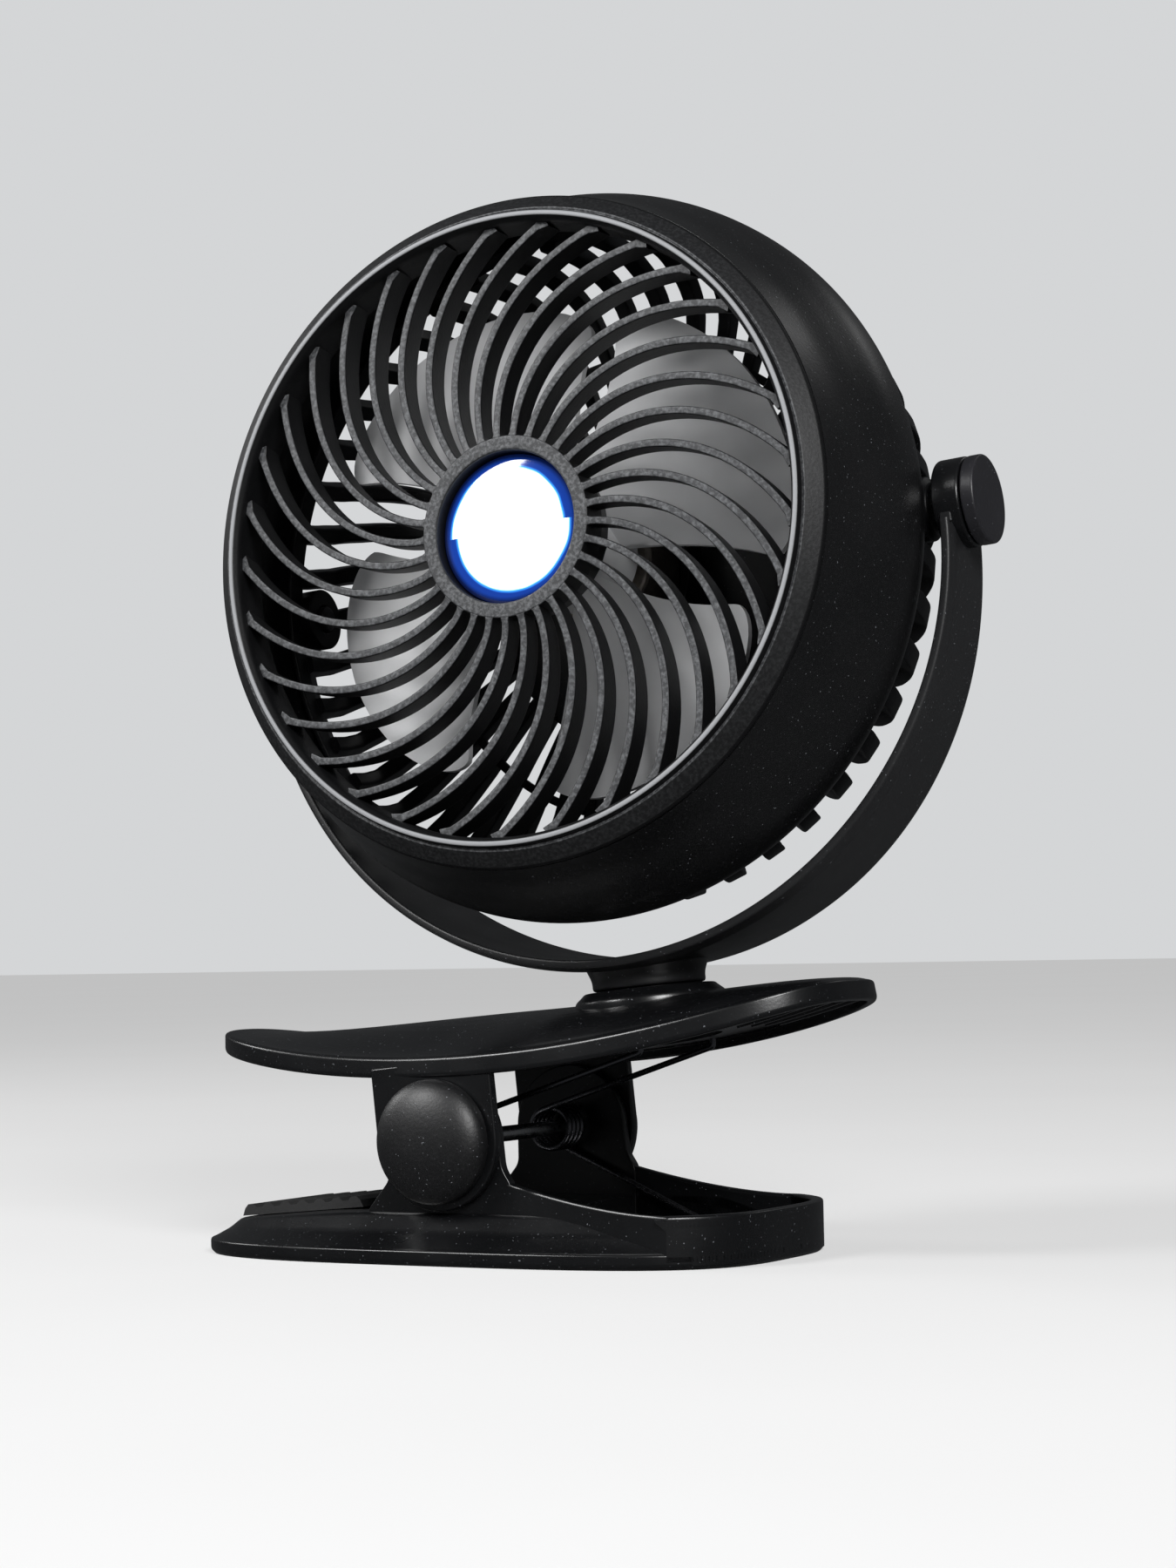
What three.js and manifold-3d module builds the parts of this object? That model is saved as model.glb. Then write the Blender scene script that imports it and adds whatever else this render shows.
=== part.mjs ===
// Clip fan: a round fan head with a lamp in its front hub, held in a swivelling yoke that
// stands on a sprung two-plate clip. Millimetres, +Z up. The origin is on the flat underside
// of the lower plate, below the clip's pivot rod; +X runs towards the handles, -X towards the
// jaws and the rod lies along Y. The fan is drawn with its clip part open, as on a 30 mm tube.
import * as THREE from "three";
import { mergeVertices } from "three/addons/utils/BufferGeometryUtils.js";
import Module from "manifold-3d";

const wasm = await Module();
wasm.setup();

// ---------- driving dimensions ----------
const GAP = 0.3; // clearance between pieces that touch
const CLEAR = 9; // how far a cut runs past what it cuts
const WALL = 2.2; // moulded wall
const RUN = 0.4; // clearance of a shaft in its hole

// the clip
const PIVOT_HEIGHT = 27;
const CLIP_OPEN = 5.6; // degrees that the upper plate leans towards the jaws
const FOOT_HALF_LENGTH = 72;
const FOOT_HALF_WIDTH = 41.6;
const FOOT_SQUARENESS = 3.3;
const FOOT_POINTS = 64; // facets round the outline
const FLANGE_HEIGHT = 3.6;
const DECK_HEIGHT = 10.8; // top of the lower plate beside the ears
const DECK_TIP_DROP = 3.6;
const DECK_INSET_END = 5;
const DECK_INSET_SIDE = 10.2;
const TRAY_FLOOR = 2.8;
const TRAY_WALL = 2.6;
const NOSE_HEIGHT = 11.6;
const TRAY_RISE = 6.8; // how much higher the tray wall is at the ears than at the nose
const NOTCH_X = FOOT_HALF_LENGTH - 14.5; // where the slanted flange runs out into the nose
const EAR_OUTER = 33; // outside face of the upper plate's ears, which cover the lower plate's
const EAR_THICKNESS = 2.6;
const EAR_RADIUS = 14.6;
const EAR_FLARE = 6; // how far the lower ears spread towards the jaws at their root
const UPPER_EAR_RADIUS = 15.6;
const ROD_RADIUS = 1.8;
const ROD_IN_CAP = 3.6;
const DOME_RADIUS = 14;
const DOME_RIM = 1.6;
const DOME_HEIGHT = 7.4;

const PLATE_LENGTH = 170;
const PLATE_CENTRE_X = 12;
const PLATE_HALF_WIDTH = 33.6;
const PLATE_SQUARENESS = 2.35;
const PLATE_RIM_HEIGHT = 13.7; // underside of the rim above the rod, at its lowest
const PLATE_LOW_X = 20.4;
const PLATE_BEND_RADIUS = 325; // the plate sweeps up to both ends on this radius
const RIM_DEPTH = 4.8;
const PLATE_THICKNESS = 2.4;
const POST_X = 40.4; // swivel post behind the rod
const PEDESTAL_TOP = 27.8;
const PEDESTAL_RADIUS = 18;
const PEDESTAL_FOOT = 25;
const SPIGOT_RADIUS = 8;

// the springs
const WIRE = 1.4;
const COIL_RADIUS = 4.7;
const COIL_PITCH = 1.95;
const COIL_TURNS = 5; // less the part turn between the legs
const COIL_Y = 17.5; // inner end of each coil from the middle
const UPPER_LEG = 46;
const LOWER_LEG = 38;

// the yoke
const SWIVEL = 2.6; // degrees
const HEAD_TILT = 6; // degrees
const DRUM_RADIUS = 83.2;
const YOKE_RADIUS = DRUM_RADIUS + 3.9;
const YOKE_DROP = 4; // centre of the yoke's arc below the tilt axis
const POST_HEIGHT = 7.3; // from the pedestal to the yoke's arc
const TILT_HEIGHT = PEDESTAL_TOP + POST_HEIGHT + YOKE_RADIUS + YOKE_DROP; // above the rod
const YOKE_THICKNESS = 2.8;
const YOKE_HALF_WIDTH_LOW = 18.8;
const YOKE_HALF_WIDTH_TOP = 10;
const POST_RADIUS = 14.2;
const BOSS_RADIUS = 10;
const BOSS_INNER = DRUM_RADIUS + 1.1;
const BOSS_OUTER = BOSS_INNER + 6.4;
const KNOB_FACE = BOSS_OUTER + 3.5;
const KNOB_STEM_RADIUS = 3;

// the head, z forward from the tilt axis
const DRUM_FRONT_RADIUS = DRUM_RADIUS - 8.2;
const DRUM_FRONT = 44;
const BEAD_RADIUS = DRUM_FRONT_RADIUS - 5;
const BEAD_FRONT = DRUM_FRONT + 5.8;
const DRUM_BACK = 8;
const TRUNNION_RADIUS = 7.2;
const TRUNNION_NECK = 5.6;
const VANES = 33;
const VANE_START = 4.84; // degrees from the tilt axis to the first vane's foot
const VANE_SWEEP = 32.4; // degrees that a vane trails over VANE_REACH
const VANE_BEND_RADIUS = 22; // a vane is radial up to here
const RIM_INNER = BEAD_RADIUS - 1.8;
const VANE_REACH = RIM_INNER - VANE_BEND_RADIUS - 2.2;
const VANE_THICKNESS = 1.8;
const VANE_DEPTH = 5.6;
const VANE_FRONT = BEAD_FRONT - 2.8;
const HUB_OUTER = 20.4;
const HUB_BORE = 17;
const HUB_FRONT = BEAD_FRONT - 1.6;
const HUB_BACK = HUB_FRONT - 7.4;
const LENS_THICKNESS = 2.2;
const LENS_FRONT = HUB_FRONT - 3;
const LAMP_BACK = HUB_BACK - 9.6;
const REAR_RIBS = 46;
const REAR_RIB_WIDTH = 3;
const REAR_RIB_DEPTH = 3.6;
const REAR_RIB_SWEEP = 9; // degrees, the other way from the front vanes
const REAR_SLOT_INNER = 38.5;
const REAR_FACE = -22;
const REAR_RIM_RADIUS = DRUM_RADIUS - 2.6;
const REAR_RIM_BACK = DRUM_BACK - 2.4;
const REAR_RING_RADIUS = REAR_RIM_RADIUS - 25.6;
const REAR_RING_DEPTH = 1.9;
// The rear grille's corner: inset from the rim, and share of the way from the rim to the face.
const REAR_CORNER = [
  [0.6, 0], [0.7, 0.167], [1, 0.304], [1.9, 0.457], [4.4, 0.62], [8.2, 0.783], [14.6, 0.92], [24.6, 0.986],
];
const IMPELLER_RADIUS = BEAD_RADIUS - 15;
const BLADES = 4;
const BLADE_SPAN = 76; // degrees
const BLADE_TIP = 15; // length over which a blade's end rounds off
const BLADE_THICKNESS = 1.8;
const BLADE_BACK = 8.5;
const BLADE_FRONT = 27;
const HUB_RADIUS = 12.5;
const SHAFT_RADIUS = 1.5;
const MOTOR_RADIUS = 14;
const MOTOR_FRONT = 5;
const MOTOR_BACK = -19.5;
const POD_RADIUS = 36; // control and battery pod behind the rear grille
const POD_BACK = -43;
const CELL_RADIUS = 9.1;
const CELL_LENGTH = 56;
const BUTTON_RADIUS = 5;
const BUTTON_X = 13;
const BUTTON_Y = 15;
const BUTTON_TRAVEL = 1;
const BUTTON_FLANGE = 0.5;
const BOARD_THICKNESS = 1.6;
const BOARD_POST_RADIUS = 1.4;
const BOARD_POST_X = BUTTON_X + BUTTON_RADIUS + BOARD_POST_RADIUS + 1.6;

// ---------- finishes ----------
const finish = (color, roughness, metalness = 0) =>
  new THREE.MeshStandardMaterial({ color, roughness, metalness });
const BLACK = finish(0x141416, 0.42);
const BLACK_MATT = finish(0x1c1c1e, 0.62);
const GREY = finish(0x77787a, 0.38);
const STEEL = finish(0x9a9c9f, 0.3, 1);
const DARK_STEEL = finish(0x3a3a3c, 0.35, 1);
const RUBBER = finish(0x0f0f10, 0.85);
const BRASS = finish(0xb08d4a, 0.35, 1);
const LENS = finish(0xdfefff, 0.08);
const BRIGHT = finish(0xe8ecf0, 0.12, 1);
const BOARD = finish(0x1f5a3a, 0.55);
const CELL = finish(0x3f76a8, 0.45);
const LED = finish(0xf6f2c8, 0.3);

// ---------- helpers ----------
const rad = THREE.MathUtils.degToRad;
const v3 = (x, y, z) => new THREE.Vector3(x, y, z);

function solid(geometry) {
  const bare = geometry.index ? geometry.toNonIndexed() : geometry.clone();
  bare.deleteAttribute("normal");
  bare.deleteAttribute("uv");
  const merged = mergeVertices(bare, 1e-4);
  return new wasm.Manifold(
    new wasm.Mesh({
      numProp: 3,
      vertProperties: merged.attributes.position.array,
      triVerts: new Uint32Array(merged.index.array),
    }),
  );
}

function piece(name, body, material) {
  const mesh = body.getMesh();
  const geometry = new THREE.BufferGeometry();
  geometry.setAttribute("position", new THREE.BufferAttribute(mesh.vertProperties, 3));
  geometry.setIndex(new THREE.BufferAttribute(mesh.triVerts, 1));
  geometry.computeVertexNormals();
  const made = new THREE.Mesh(geometry, material);
  made.name = name;
  return made;
}

const join = (...bodies) => bodies.reduce((a, b) => a.add(b));
const cut = (body, ...tools) => tools.reduce((a, b) => a.subtract(b), body);

// A body of revolution about Z from the [radius, z] pairs round its section.
function turned(profile, segments = 48) {
  const points = profile.map(([r, z]) => new THREE.Vector2(r, z));
  if (THREE.ShapeUtils.area(points) < 0) points.reverse();
  if (points[0].x > 0) points.push(points[0].clone());
  const lathe = new THREE.LatheGeometry(points, segments);
  return solid(lathe.rotateX(Math.PI / 2));
}

// A cylinder along Z between two heights.
function rod(radius, low, high, segments = 32) {
  return turned([[0, low], [radius, low], [radius, high], [0, high]], segments);
}

// A ring along Z.
function ring(inner, outer, low, high, segments = 48) {
  return turned([[inner, low], [outer, low], [outer, high], [inner, high]], segments);
}

// A box by its two corners.
function block(low, high) {
  const size = high.map((h, i) => h - low[i]);
  const box = new THREE.BoxGeometry(...size);
  return solid(box.translate(...low.map((l, i) => l + size[i] / 2)));
}

// A flat outline in XY, extruded along Z.
function prism(points, low, high) {
  const shape = new THREE.Shape(points.map(([x, y]) => new THREE.Vector2(x, y)));
  const extruded = new THREE.ExtrudeGeometry(shape, { depth: high - low, bevelEnabled: false });
  return solid(extruded.translate(0, 0, low));
}

// A flat outline in XZ, extruded along Y.
function sidePlate(points, low, high) {
  const shape = new THREE.Shape(points.map(([x, z]) => new THREE.Vector2(x, z)));
  const extruded = new THREE.ExtrudeGeometry(shape, { depth: high - low, bevelEnabled: false });
  return solid(extruded.rotateX(Math.PI / 2).translate(0, high, 0));
}

// Closed body through rings of equal count; the first and last ring are capped from a centre.
function loft(rings, wrap = false) {
  const count = rings[0].length;
  const position = rings.flat().flatMap((p) => [p.x, p.y, p.z]);
  const index = [];
  const last = wrap ? rings.length : rings.length - 1;
  for (let i = 0; i < last; i += 1) {
    const a = i * count;
    const b = ((i + 1) % rings.length) * count;
    for (let j = 0; j < count; j += 1) {
      const k = (j + 1) % count;
      index.push(a + j, a + k, b + k, a + j, b + k, b + j);
    }
  }
  if (!wrap) {
    [[0, 1], [rings.length - 1, 0]].forEach(([r, flip]) => {
      const middle = rings[r].reduce((s, p) => s.add(p), v3(0, 0, 0)).divideScalar(count);
      const m = position.length / 3;
      position.push(middle.x, middle.y, middle.z);
      for (let j = 0; j < count; j += 1) {
        const k = (j + 1) % count;
        const a = r * count + j;
        const b = r * count + k;
        index.push(...(flip ? [m, b, a] : [m, a, b]));
      }
    });
  }
  const geometry = new THREE.BufferGeometry();
  geometry.setAttribute("position", new THREE.Float32BufferAttribute(position, 3));
  geometry.setIndex(index);
  const made = solid(geometry);
  return made.volume() < 0 ? solid(flipped(geometry)) : made;
}

function flipped(geometry) {
  const index = geometry.index.array;
  for (let i = 0; i < index.length; i += 3) {
    [index[i + 1], index[i + 2]] = [index[i + 2], index[i + 1]];
  }
  return geometry;
}

// Points of a superellipse outline, anticlockwise from +X.
function superellipse(halfX, halfY, squareness, count) {
  const power = 2 / squareness;
  return Array.from({ length: count }, (_, i) => {
    const t = (2 * Math.PI * i) / count;
    const c = Math.cos(t);
    const s = Math.sin(t);
    return [halfX * Math.sign(c) * Math.abs(c) ** power, halfY * Math.sign(s) * Math.abs(s) ** power];
  });
}

// An arc of [x, y] points about a centre, in degrees.
function arc(cx, cy, radius, from, to, steps) {
  return Array.from({ length: steps + 1 }, (_, i) => {
    const a = rad(from + ((to - from) * i) / steps);
    return [cx + radius * Math.cos(a), cy + radius * Math.sin(a)];
  });
}

const alongX = (body) => body.rotate([0, 90, 0]); // turns +Z to +X
const alongY = (body) => body.rotate([-90, 0, 0]); // turns +Z to +Y
const mirrorY = (body) => body.mirror([0, 1, 0]);
const mirrorX = (body) => body.mirror([1, 0, 0]);

// ---------- the lower plate ----------
function deckHeight(x) {
  const start = -20;
  const reach = FOOT_HALF_LENGTH - DECK_INSET_END + start;
  const t = THREE.MathUtils.clamp((start - x) / reach, 0, 1);
  return DECK_HEIGHT - DECK_TIP_DROP * t ** 1.3;
}

function trayTop(x) {
  const t = THREE.MathUtils.clamp((NOTCH_X - x) / (NOTCH_X - EAR_RADIUS), 0, 1);
  return NOSE_HEIGHT + TRAY_RISE * t ** 1.7;
}

// Centre line of the tray's U-shaped wall, from the near ear round the nose to the far one.
function trayPath(inset) {
  const full = superellipse(FOOT_HALF_LENGTH, FOOT_HALF_WIDTH, FOOT_SQUARENESS, FOOT_POINTS);
  const outline = superellipse(
    FOOT_HALF_LENGTH - inset, FOOT_HALF_WIDTH - inset, FOOT_SQUARENESS, FOOT_POINTS,
  );
  const kept = (near) => outline.filter((_, i) => full[i][0] > NOTCH_X && full[i][1] < 0 === near);
  const nose = [...kept(true), ...kept(false)];
  const earY = EAR_OUTER - EAR_THICKNESS - GAP - inset;
  const startX = EAR_RADIUS + 1.6;
  return [[startX, -earY], ...nose, [startX, earY]];
}

function trayWall() {
  const outer = trayPath(0);
  const inner = trayPath(TRAY_WALL);
  const path = [];
  const side = 6;
  const blend = (a, b, t) => [a[0] + (b[0] - a[0]) * t, a[1] + (b[1] - a[1]) * t];
  for (let i = 0; i < side; i += 1) {
    path.push([blend(outer[0], outer[1], i / side), blend(inner[0], inner[1], i / side)]);
  }
  for (let i = 1; i < outer.length - 1; i += 1) {
    path.push([outer[i], inner[i]]);
  }
  for (let i = 1; i <= side; i += 1) {
    const [a, b] = [outer.length - 2, outer.length - 1];
    path.push([blend(outer[a], outer[b], i / side), blend(inner[a], inner[b], i / side)]);
  }
  const round = 0.7;
  return loft(path.map(([o, n]) => {
    const top = trayTop(o[0]);
    const crown = blend(o, n, 0.25);
    const inside = blend(o, n, 0.75);
    return [
      v3(o[0], o[1], 1), v3(o[0], o[1], top - round), v3(crown[0], crown[1], top),
      v3(inside[0], inside[1], top), v3(n[0], n[1], top - round), v3(n[0], n[1], 1),
    ];
  }));
}

// Slanted flange and deck.
function footBase() {
  const count = FOOT_POINTS;
  const full = superellipse(FOOT_HALF_LENGTH, FOOT_HALF_WIDTH, FOOT_SQUARENESS, count);
  const edge = superellipse(FOOT_HALF_LENGTH - 0.8, FOOT_HALF_WIDTH - 0.8, FOOT_SQUARENESS, count);
  const deck = superellipse(
    FOOT_HALF_LENGTH - DECK_INSET_END, FOOT_HALF_WIDTH - DECK_INSET_SIDE, FOOT_SQUARENESS, count,
  );
  const level = (points, z) => points.map(([x, y]) => v3(x, y, z));
  const shoulder = full.map(([x, y], i) => {
    const [dx, dy] = deck[i];
    const t = 0.62;
    const z = FLANGE_HEIGHT + (deckHeight(dx) - FLANGE_HEIGHT) * 0.45;
    return v3(x + (dx - x) * t, y + (dy - y) * t, z);
  });
  return loft([
    level(edge, 0), level(full, 0.9), level(full, FLANGE_HEIGHT - 0.4), level(edge, FLANGE_HEIGHT),
    shoulder, deck.map(([x, y]) => v3(x, y, deckHeight(x))),
    deck.map(([x, y]) => v3(x * 0.7, y * 0.7, deckHeight(x * 0.7))),
  ]);
}

function noseBlock() {
  const full = superellipse(FOOT_HALF_LENGTH, FOOT_HALF_WIDTH, FOOT_SQUARENESS, FOOT_POINTS);
  const body = prism(full, 0.9, NOSE_HEIGHT - 0.7);
  const slant = 5.4;
  const keep = sidePlate(
    [[NOTCH_X + slant, 0], [FOOT_HALF_LENGTH + CLEAR, 0], [FOOT_HALF_LENGTH + CLEAR, NOSE_HEIGHT + CLEAR],
      [NOTCH_X - slant, NOSE_HEIGHT + CLEAR], [NOTCH_X, NOSE_HEIGHT - 2.4],
      [NOTCH_X + slant, FLANGE_HEIGHT - 0.4]],
    -FOOT_HALF_WIDTH - CLEAR, FOOT_HALF_WIDTH + CLEAR,
  );
  return body.intersect(keep);
}

function lowerEars() {
  const outer = EAR_OUTER - EAR_THICKNESS - GAP;
  const flareTop = DECK_HEIGHT + EAR_FLARE * 1.2;
  const outline = [
    [-EAR_RADIUS - EAR_FLARE, TRAY_FLOOR], [EAR_RADIUS + 3, TRAY_FLOOR],
    [EAR_RADIUS + 3, NOSE_HEIGHT + TRAY_RISE - 1], [EAR_RADIUS + 0.6, flareTop + 3],
    ...arc(0, PIVOT_HEIGHT, EAR_RADIUS, 0, 180, 14),
    [-EAR_RADIUS, flareTop], [-EAR_RADIUS - EAR_FLARE, DECK_HEIGHT],
  ];
  const far = sidePlate(outline, outer - EAR_THICKNESS, outer);
  return join(far, mirrorY(far));
}

// The rod's hole through all four ears.
function rodHole() {
  const reach = EAR_OUTER + CLEAR;
  return alongY(rod(ROD_RADIUS + RUN, -reach, reach, 24));
}

function lowerJaw() {
  const pocket = prism([...trayPath(TRAY_WALL)], TRAY_FLOOR, PIVOT_HEIGHT);
  const body = cut(join(footBase(), noseBlock()), pocket);
  const hole = rodHole().translate([0, 0, PIVOT_HEIGHT]);
  // longitudinal stiffening ribs across the tray floor
  const ribs = [-12, 0, 12].map((y) =>
    block([EAR_RADIUS, y - 0.8, TRAY_FLOOR - 1], [FOOT_HALF_LENGTH - 12, y + 0.8, TRAY_FLOOR + 1.2]));
  return cut(join(body, trayWall(), lowerEars(), ...ribs), hole);
}

// ---------- rubber pads with ribs across the jaws ----------
function gripPad(length, halfWidth, thickness) {
  const teeth = 7;
  const pitch = length / teeth;
  const top = Array.from({ length: teeth }, (_, i) => [
    [i * pitch + pitch * 0.15, thickness - 0.9], [i * pitch + pitch * 0.35, thickness],
    [i * pitch + pitch * 0.65, thickness], [i * pitch + pitch * 0.85, thickness - 0.9],
  ]).flat();
  return sidePlate([[0, 0], [length, 0], ...top.reverse()], -halfWidth, halfWidth);
}

function lowerPad() {
  const length = 34;
  const startX = 8 - FOOT_HALF_LENGTH;
  const slope = Math.atan2(deckHeight(startX + length) - deckHeight(startX), length);
  const base = deckHeight(startX) + GAP;
  return gripPad(length, 17, 2.6)
    .rotate([0, (-slope * 180) / Math.PI, 0])
    .translate([startX, 0, base]);
}

// ---------- rod, caps and springs ----------
function domeCap() {
  const foot = EAR_OUTER + GAP;
  const rise = DOME_HEIGHT - DOME_RIM;
  const bulge = arc(0, 0, 1, 0, 90, 6).map(([c, s]) => [
    DOME_RADIUS * c ** 0.9, foot + DOME_RIM + rise * s,
  ]);
  const cap = turned([[0, foot], [DOME_RADIUS - 0.5, foot], [DOME_RADIUS, foot + 0.5], ...bulge.slice(0, -1),
    [0, foot + DOME_HEIGHT]], 24);
  return cut(cap, rod(ROD_RADIUS + GAP, foot - 1, foot + ROD_IN_CAP + 2 * GAP, 16));
}

function sweep(path, radius, sides) {
  const rings = [];
  let normal = null;
  path.forEach((p, i) => {
    const before = path[Math.max(i - 1, 0)];
    const after = path[Math.min(i + 1, path.length - 1)];
    const along = after.clone().sub(before).normalize();
    if (!normal) {
      normal = Math.abs(along.y) < 0.8 ? v3(0, 1, 0) : v3(1, 0, 0);
    }
    normal = normal.clone().sub(along.clone().multiplyScalar(normal.dot(along))).normalize();
    const side = along.clone().cross(normal);
    rings.push(Array.from({ length: sides }, (_, k) => {
      const a = (2 * Math.PI * k) / sides;
      return p.clone().addScaledVector(normal, radius * Math.cos(a)).addScaledVector(side, radius * Math.sin(a));
    }));
  });
  return loft(rings);
}

// One torsion spring on the rod: lower leg, coil, upper leg. Angles are in the side view.
function springPath() {
  const steps = 8;
  const plateLean = rad(CLIP_OPEN);
  const upperEnd = v3(UPPER_LEG, 0, plateUnderside(UPPER_LEG) - GAP).applyAxisAngle(v3(0, 1, 0), -plateLean);
  const lowerEnd = v3(LOWER_LEG, 0, TRAY_FLOOR + GAP - PIVOT_HEIGHT);
  const tip = WIRE * 1.4;
  const lowerAngle = legAngle(v3(lowerEnd.x, 0, lowerEnd.z + tip), 1);
  const upperAngle = legAngle(v3(upperEnd.x, 0, upperEnd.z - tip), -1);
  const turns = COIL_TURNS - (upperAngle - lowerAngle) / (2 * Math.PI);
  const count = Math.round(turns * steps);
  const coil = Array.from({ length: count + 1 }, (_, i) => {
    const a = lowerAngle - (2 * Math.PI * turns * i) / count;
    const y = COIL_Y + turns * COIL_PITCH * (1 - i / count);
    return v3(COIL_RADIUS * Math.cos(a), y, COIL_RADIUS * Math.sin(a));
  });
  const yLow = coil[0].y;
  const yHigh = coil[coil.length - 1].y;
  return [
    v3(lowerEnd.x, yLow, lowerEnd.z), v3(lowerEnd.x, yLow, lowerEnd.z + tip),
    v3(lowerEnd.x - tip, yLow, lowerEnd.z + tip * 1.3),
    ...coil,
    v3(upperEnd.x - tip, yHigh, upperEnd.z - tip * 1.3), v3(upperEnd.x, yHigh, upperEnd.z - tip),
    v3(upperEnd.x, yHigh, upperEnd.z),
  ];
}

// Angle on the coil where a straight leg to a point leaves it as a tangent.
function legAngle(point, side) {
  const distance = Math.hypot(point.x, point.z);
  return Math.atan2(point.z, point.x) - side * Math.acos(COIL_RADIUS / distance);
}

// Least gap of a tube to itself, away from its own neighbouring points.
function leastGap(path, diameter) {
  const fine = new THREE.CatmullRomCurve3(path, false, "catmullrom", 0).getSpacedPoints(900);
  const skip = Math.ceil((3 * diameter) / fine[0].distanceTo(fine[1]));
  let least = Infinity;
  fine.forEach((p, i) => {
    for (let j = i + skip; j < fine.length; j += 1) {
      least = Math.min(least, p.distanceTo(fine[j]));
    }
  });
  return least - diameter;
}

function spring() {
  const path = springPath();
  console.log(`spring's least gap to itself ${leastGap(path, WIRE).toFixed(2)} mm`);
  return sweep(path, WIRE / 2, 5).translate([0, 0, PIVOT_HEIGHT]);
}

// ---------- the upper plate, drawn about the rod ----------
const plateRim = (x) => PLATE_RIM_HEIGHT + (x - PLATE_LOW_X) ** 2 / (2 * PLATE_BEND_RADIUS);
const plateUnderside = (x) => plateRim(x) + RIM_DEPTH - PLATE_THICKNESS;

function plateShell() {
  const count = 44;
  const half = PLATE_LENGTH / 2;
  const outline = (inset) => superellipse(half - inset, PLATE_HALF_WIDTH - inset, PLATE_SQUARENESS, count)
    .map(([x, y]) => [x + PLATE_CENTRE_X, y]);
  const at = (points, rise, crown = 0) => points.map(([x, y]) => v3(x, y, plateRim(x) + rise + crown));
  const shrink = (points, share) => points.map(([x, y]) => [PLATE_CENTRE_X + (x - PLATE_CENTRE_X) * share, y * share]);
  const top = outline(1.4);
  const inside = outline(WALL);
  const shares = [0.7, 0.35];
  return loft([
    ...[...shares].reverse().map((s) => at(shrink(inside, s), RIM_DEPTH - PLATE_THICKNESS)),
    at(inside, RIM_DEPTH - PLATE_THICKNESS), at(inside, 0), at(outline(0.3), 0), at(outline(0), 0.8),
    at(outline(0.3), RIM_DEPTH - 0.8), at(top, RIM_DEPTH),
    ...shares.map((s) => at(shrink(top, s), RIM_DEPTH, -0.5 * (1 - s ** 2))),
  ]);
}

function upperEars() {
  const root = plateUnderside(0) + 1;
  const bottom = arc(0, 0, UPPER_EAR_RADIUS, 180, 360, 14);
  const outline = [[-UPPER_EAR_RADIUS, root], ...bottom, [UPPER_EAR_RADIUS, root]];
  const ear = sidePlate(outline, EAR_OUTER - EAR_THICKNESS, EAR_OUTER);
  return join(ear, mirrorY(ear));
}

function upperJaw() {
  const plateTop = plateRim(POST_X) + RIM_DEPTH;
  const pedestal = turned([
    [0, plateTop - PLATE_THICKNESS], [PEDESTAL_FOOT + 4, plateTop - 1.6], [PEDESTAL_FOOT, plateTop + 0.7],
    [PEDESTAL_RADIUS + 2.5, PEDESTAL_TOP - 3.6], [PEDESTAL_RADIUS + 0.4, PEDESTAL_TOP - 1.2],
    [PEDESTAL_RADIUS - 0.6, PEDESTAL_TOP], [0, PEDESTAL_TOP],
  ], 32).translate([POST_X, 0, 0]);
  const bore = rod(SPIGOT_RADIUS + RUN, 0, PEDESTAL_TOP + CLEAR, 24).translate([POST_X, 0, 0]);
  const seat = PEDESTAL_TOP - BEARING_LENGTH;
  const well = turned([
    [0, 0], [PEDESTAL_RADIUS - 1, 0], [PEDESTAL_RADIUS - 1, plateTop], [PEDESTAL_RADIUS - 3, seat - 1],
    [WASHER_RADIUS + 1.4, seat], [0, seat],
  ], 24).translate([POST_X, 0, 0]);
  // grip ribs under the handle
  const ribs = [-14, -7, 0, 7, 14].map((y) => {
    const from = POST_X + PEDESTAL_FOOT;
    const to = PLATE_CENTRE_X + PLATE_LENGTH / 2 - 9;
    const count = 3;
    const below = Array.from({ length: count + 1 }, (_, i) => from + ((to - from) * i) / count);
    return sidePlate([
      ...below.map((x) => [x, plateUnderside(x) - 1.3]),
      ...below.reverse().map((x) => [x, plateUnderside(x) + 1]),
    ], y - 0.9, y + 0.9);
  });
  return cut(join(plateShell(), upperEars(), pedestal, ...ribs), bore, well, rodHole());
}

function upperPad() {
  const length = 34;
  const startX = PLATE_CENTRE_X - PLATE_LENGTH / 2 + 11;
  const slope = Math.atan2(plateUnderside(startX + length) - plateUnderside(startX), length);
  return gripPad(length, 15, 2.6)
    .mirror([0, 0, 1])
    .rotate([0, (-slope * 180) / Math.PI, 0])
    .translate([startX, 0, plateUnderside(startX) - GAP - 0.5]);
}

// ---------- swivel bearing ----------
const BEARING_LENGTH = 6;
const WASHER_RADIUS = 11;
const WASHER_THICKNESS = 1.2;
const SCREW_RADIUS = 2;

function swivelWasher() {
  const top = PEDESTAL_TOP - BEARING_LENGTH - GAP;
  return ring(SCREW_RADIUS + RUN, WASHER_RADIUS, top - WASHER_THICKNESS, top, 24).translate([POST_X, 0, 0]);
}

// A pan-head screw along Z with its head at the low end and a cross recess.
function panScrew(headRadius, shankRadius, length) {
  const head = 1.9;
  const body = turned([
    [0, -head], [headRadius * 0.55, -head], [headRadius, -head * 0.35], [headRadius, 0],
    [shankRadius, 0], [shankRadius, length - 1], [shankRadius * 0.5, length], [0, length],
  ], 20);
  const arm = headRadius * 0.62;
  const slot = [[arm, 0.35], [0.35, arm]].map(([x, y]) => block([-x, -y, -head - 1], [x, y, -head + 0.9]));
  return cut(body, ...slot);
}

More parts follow.
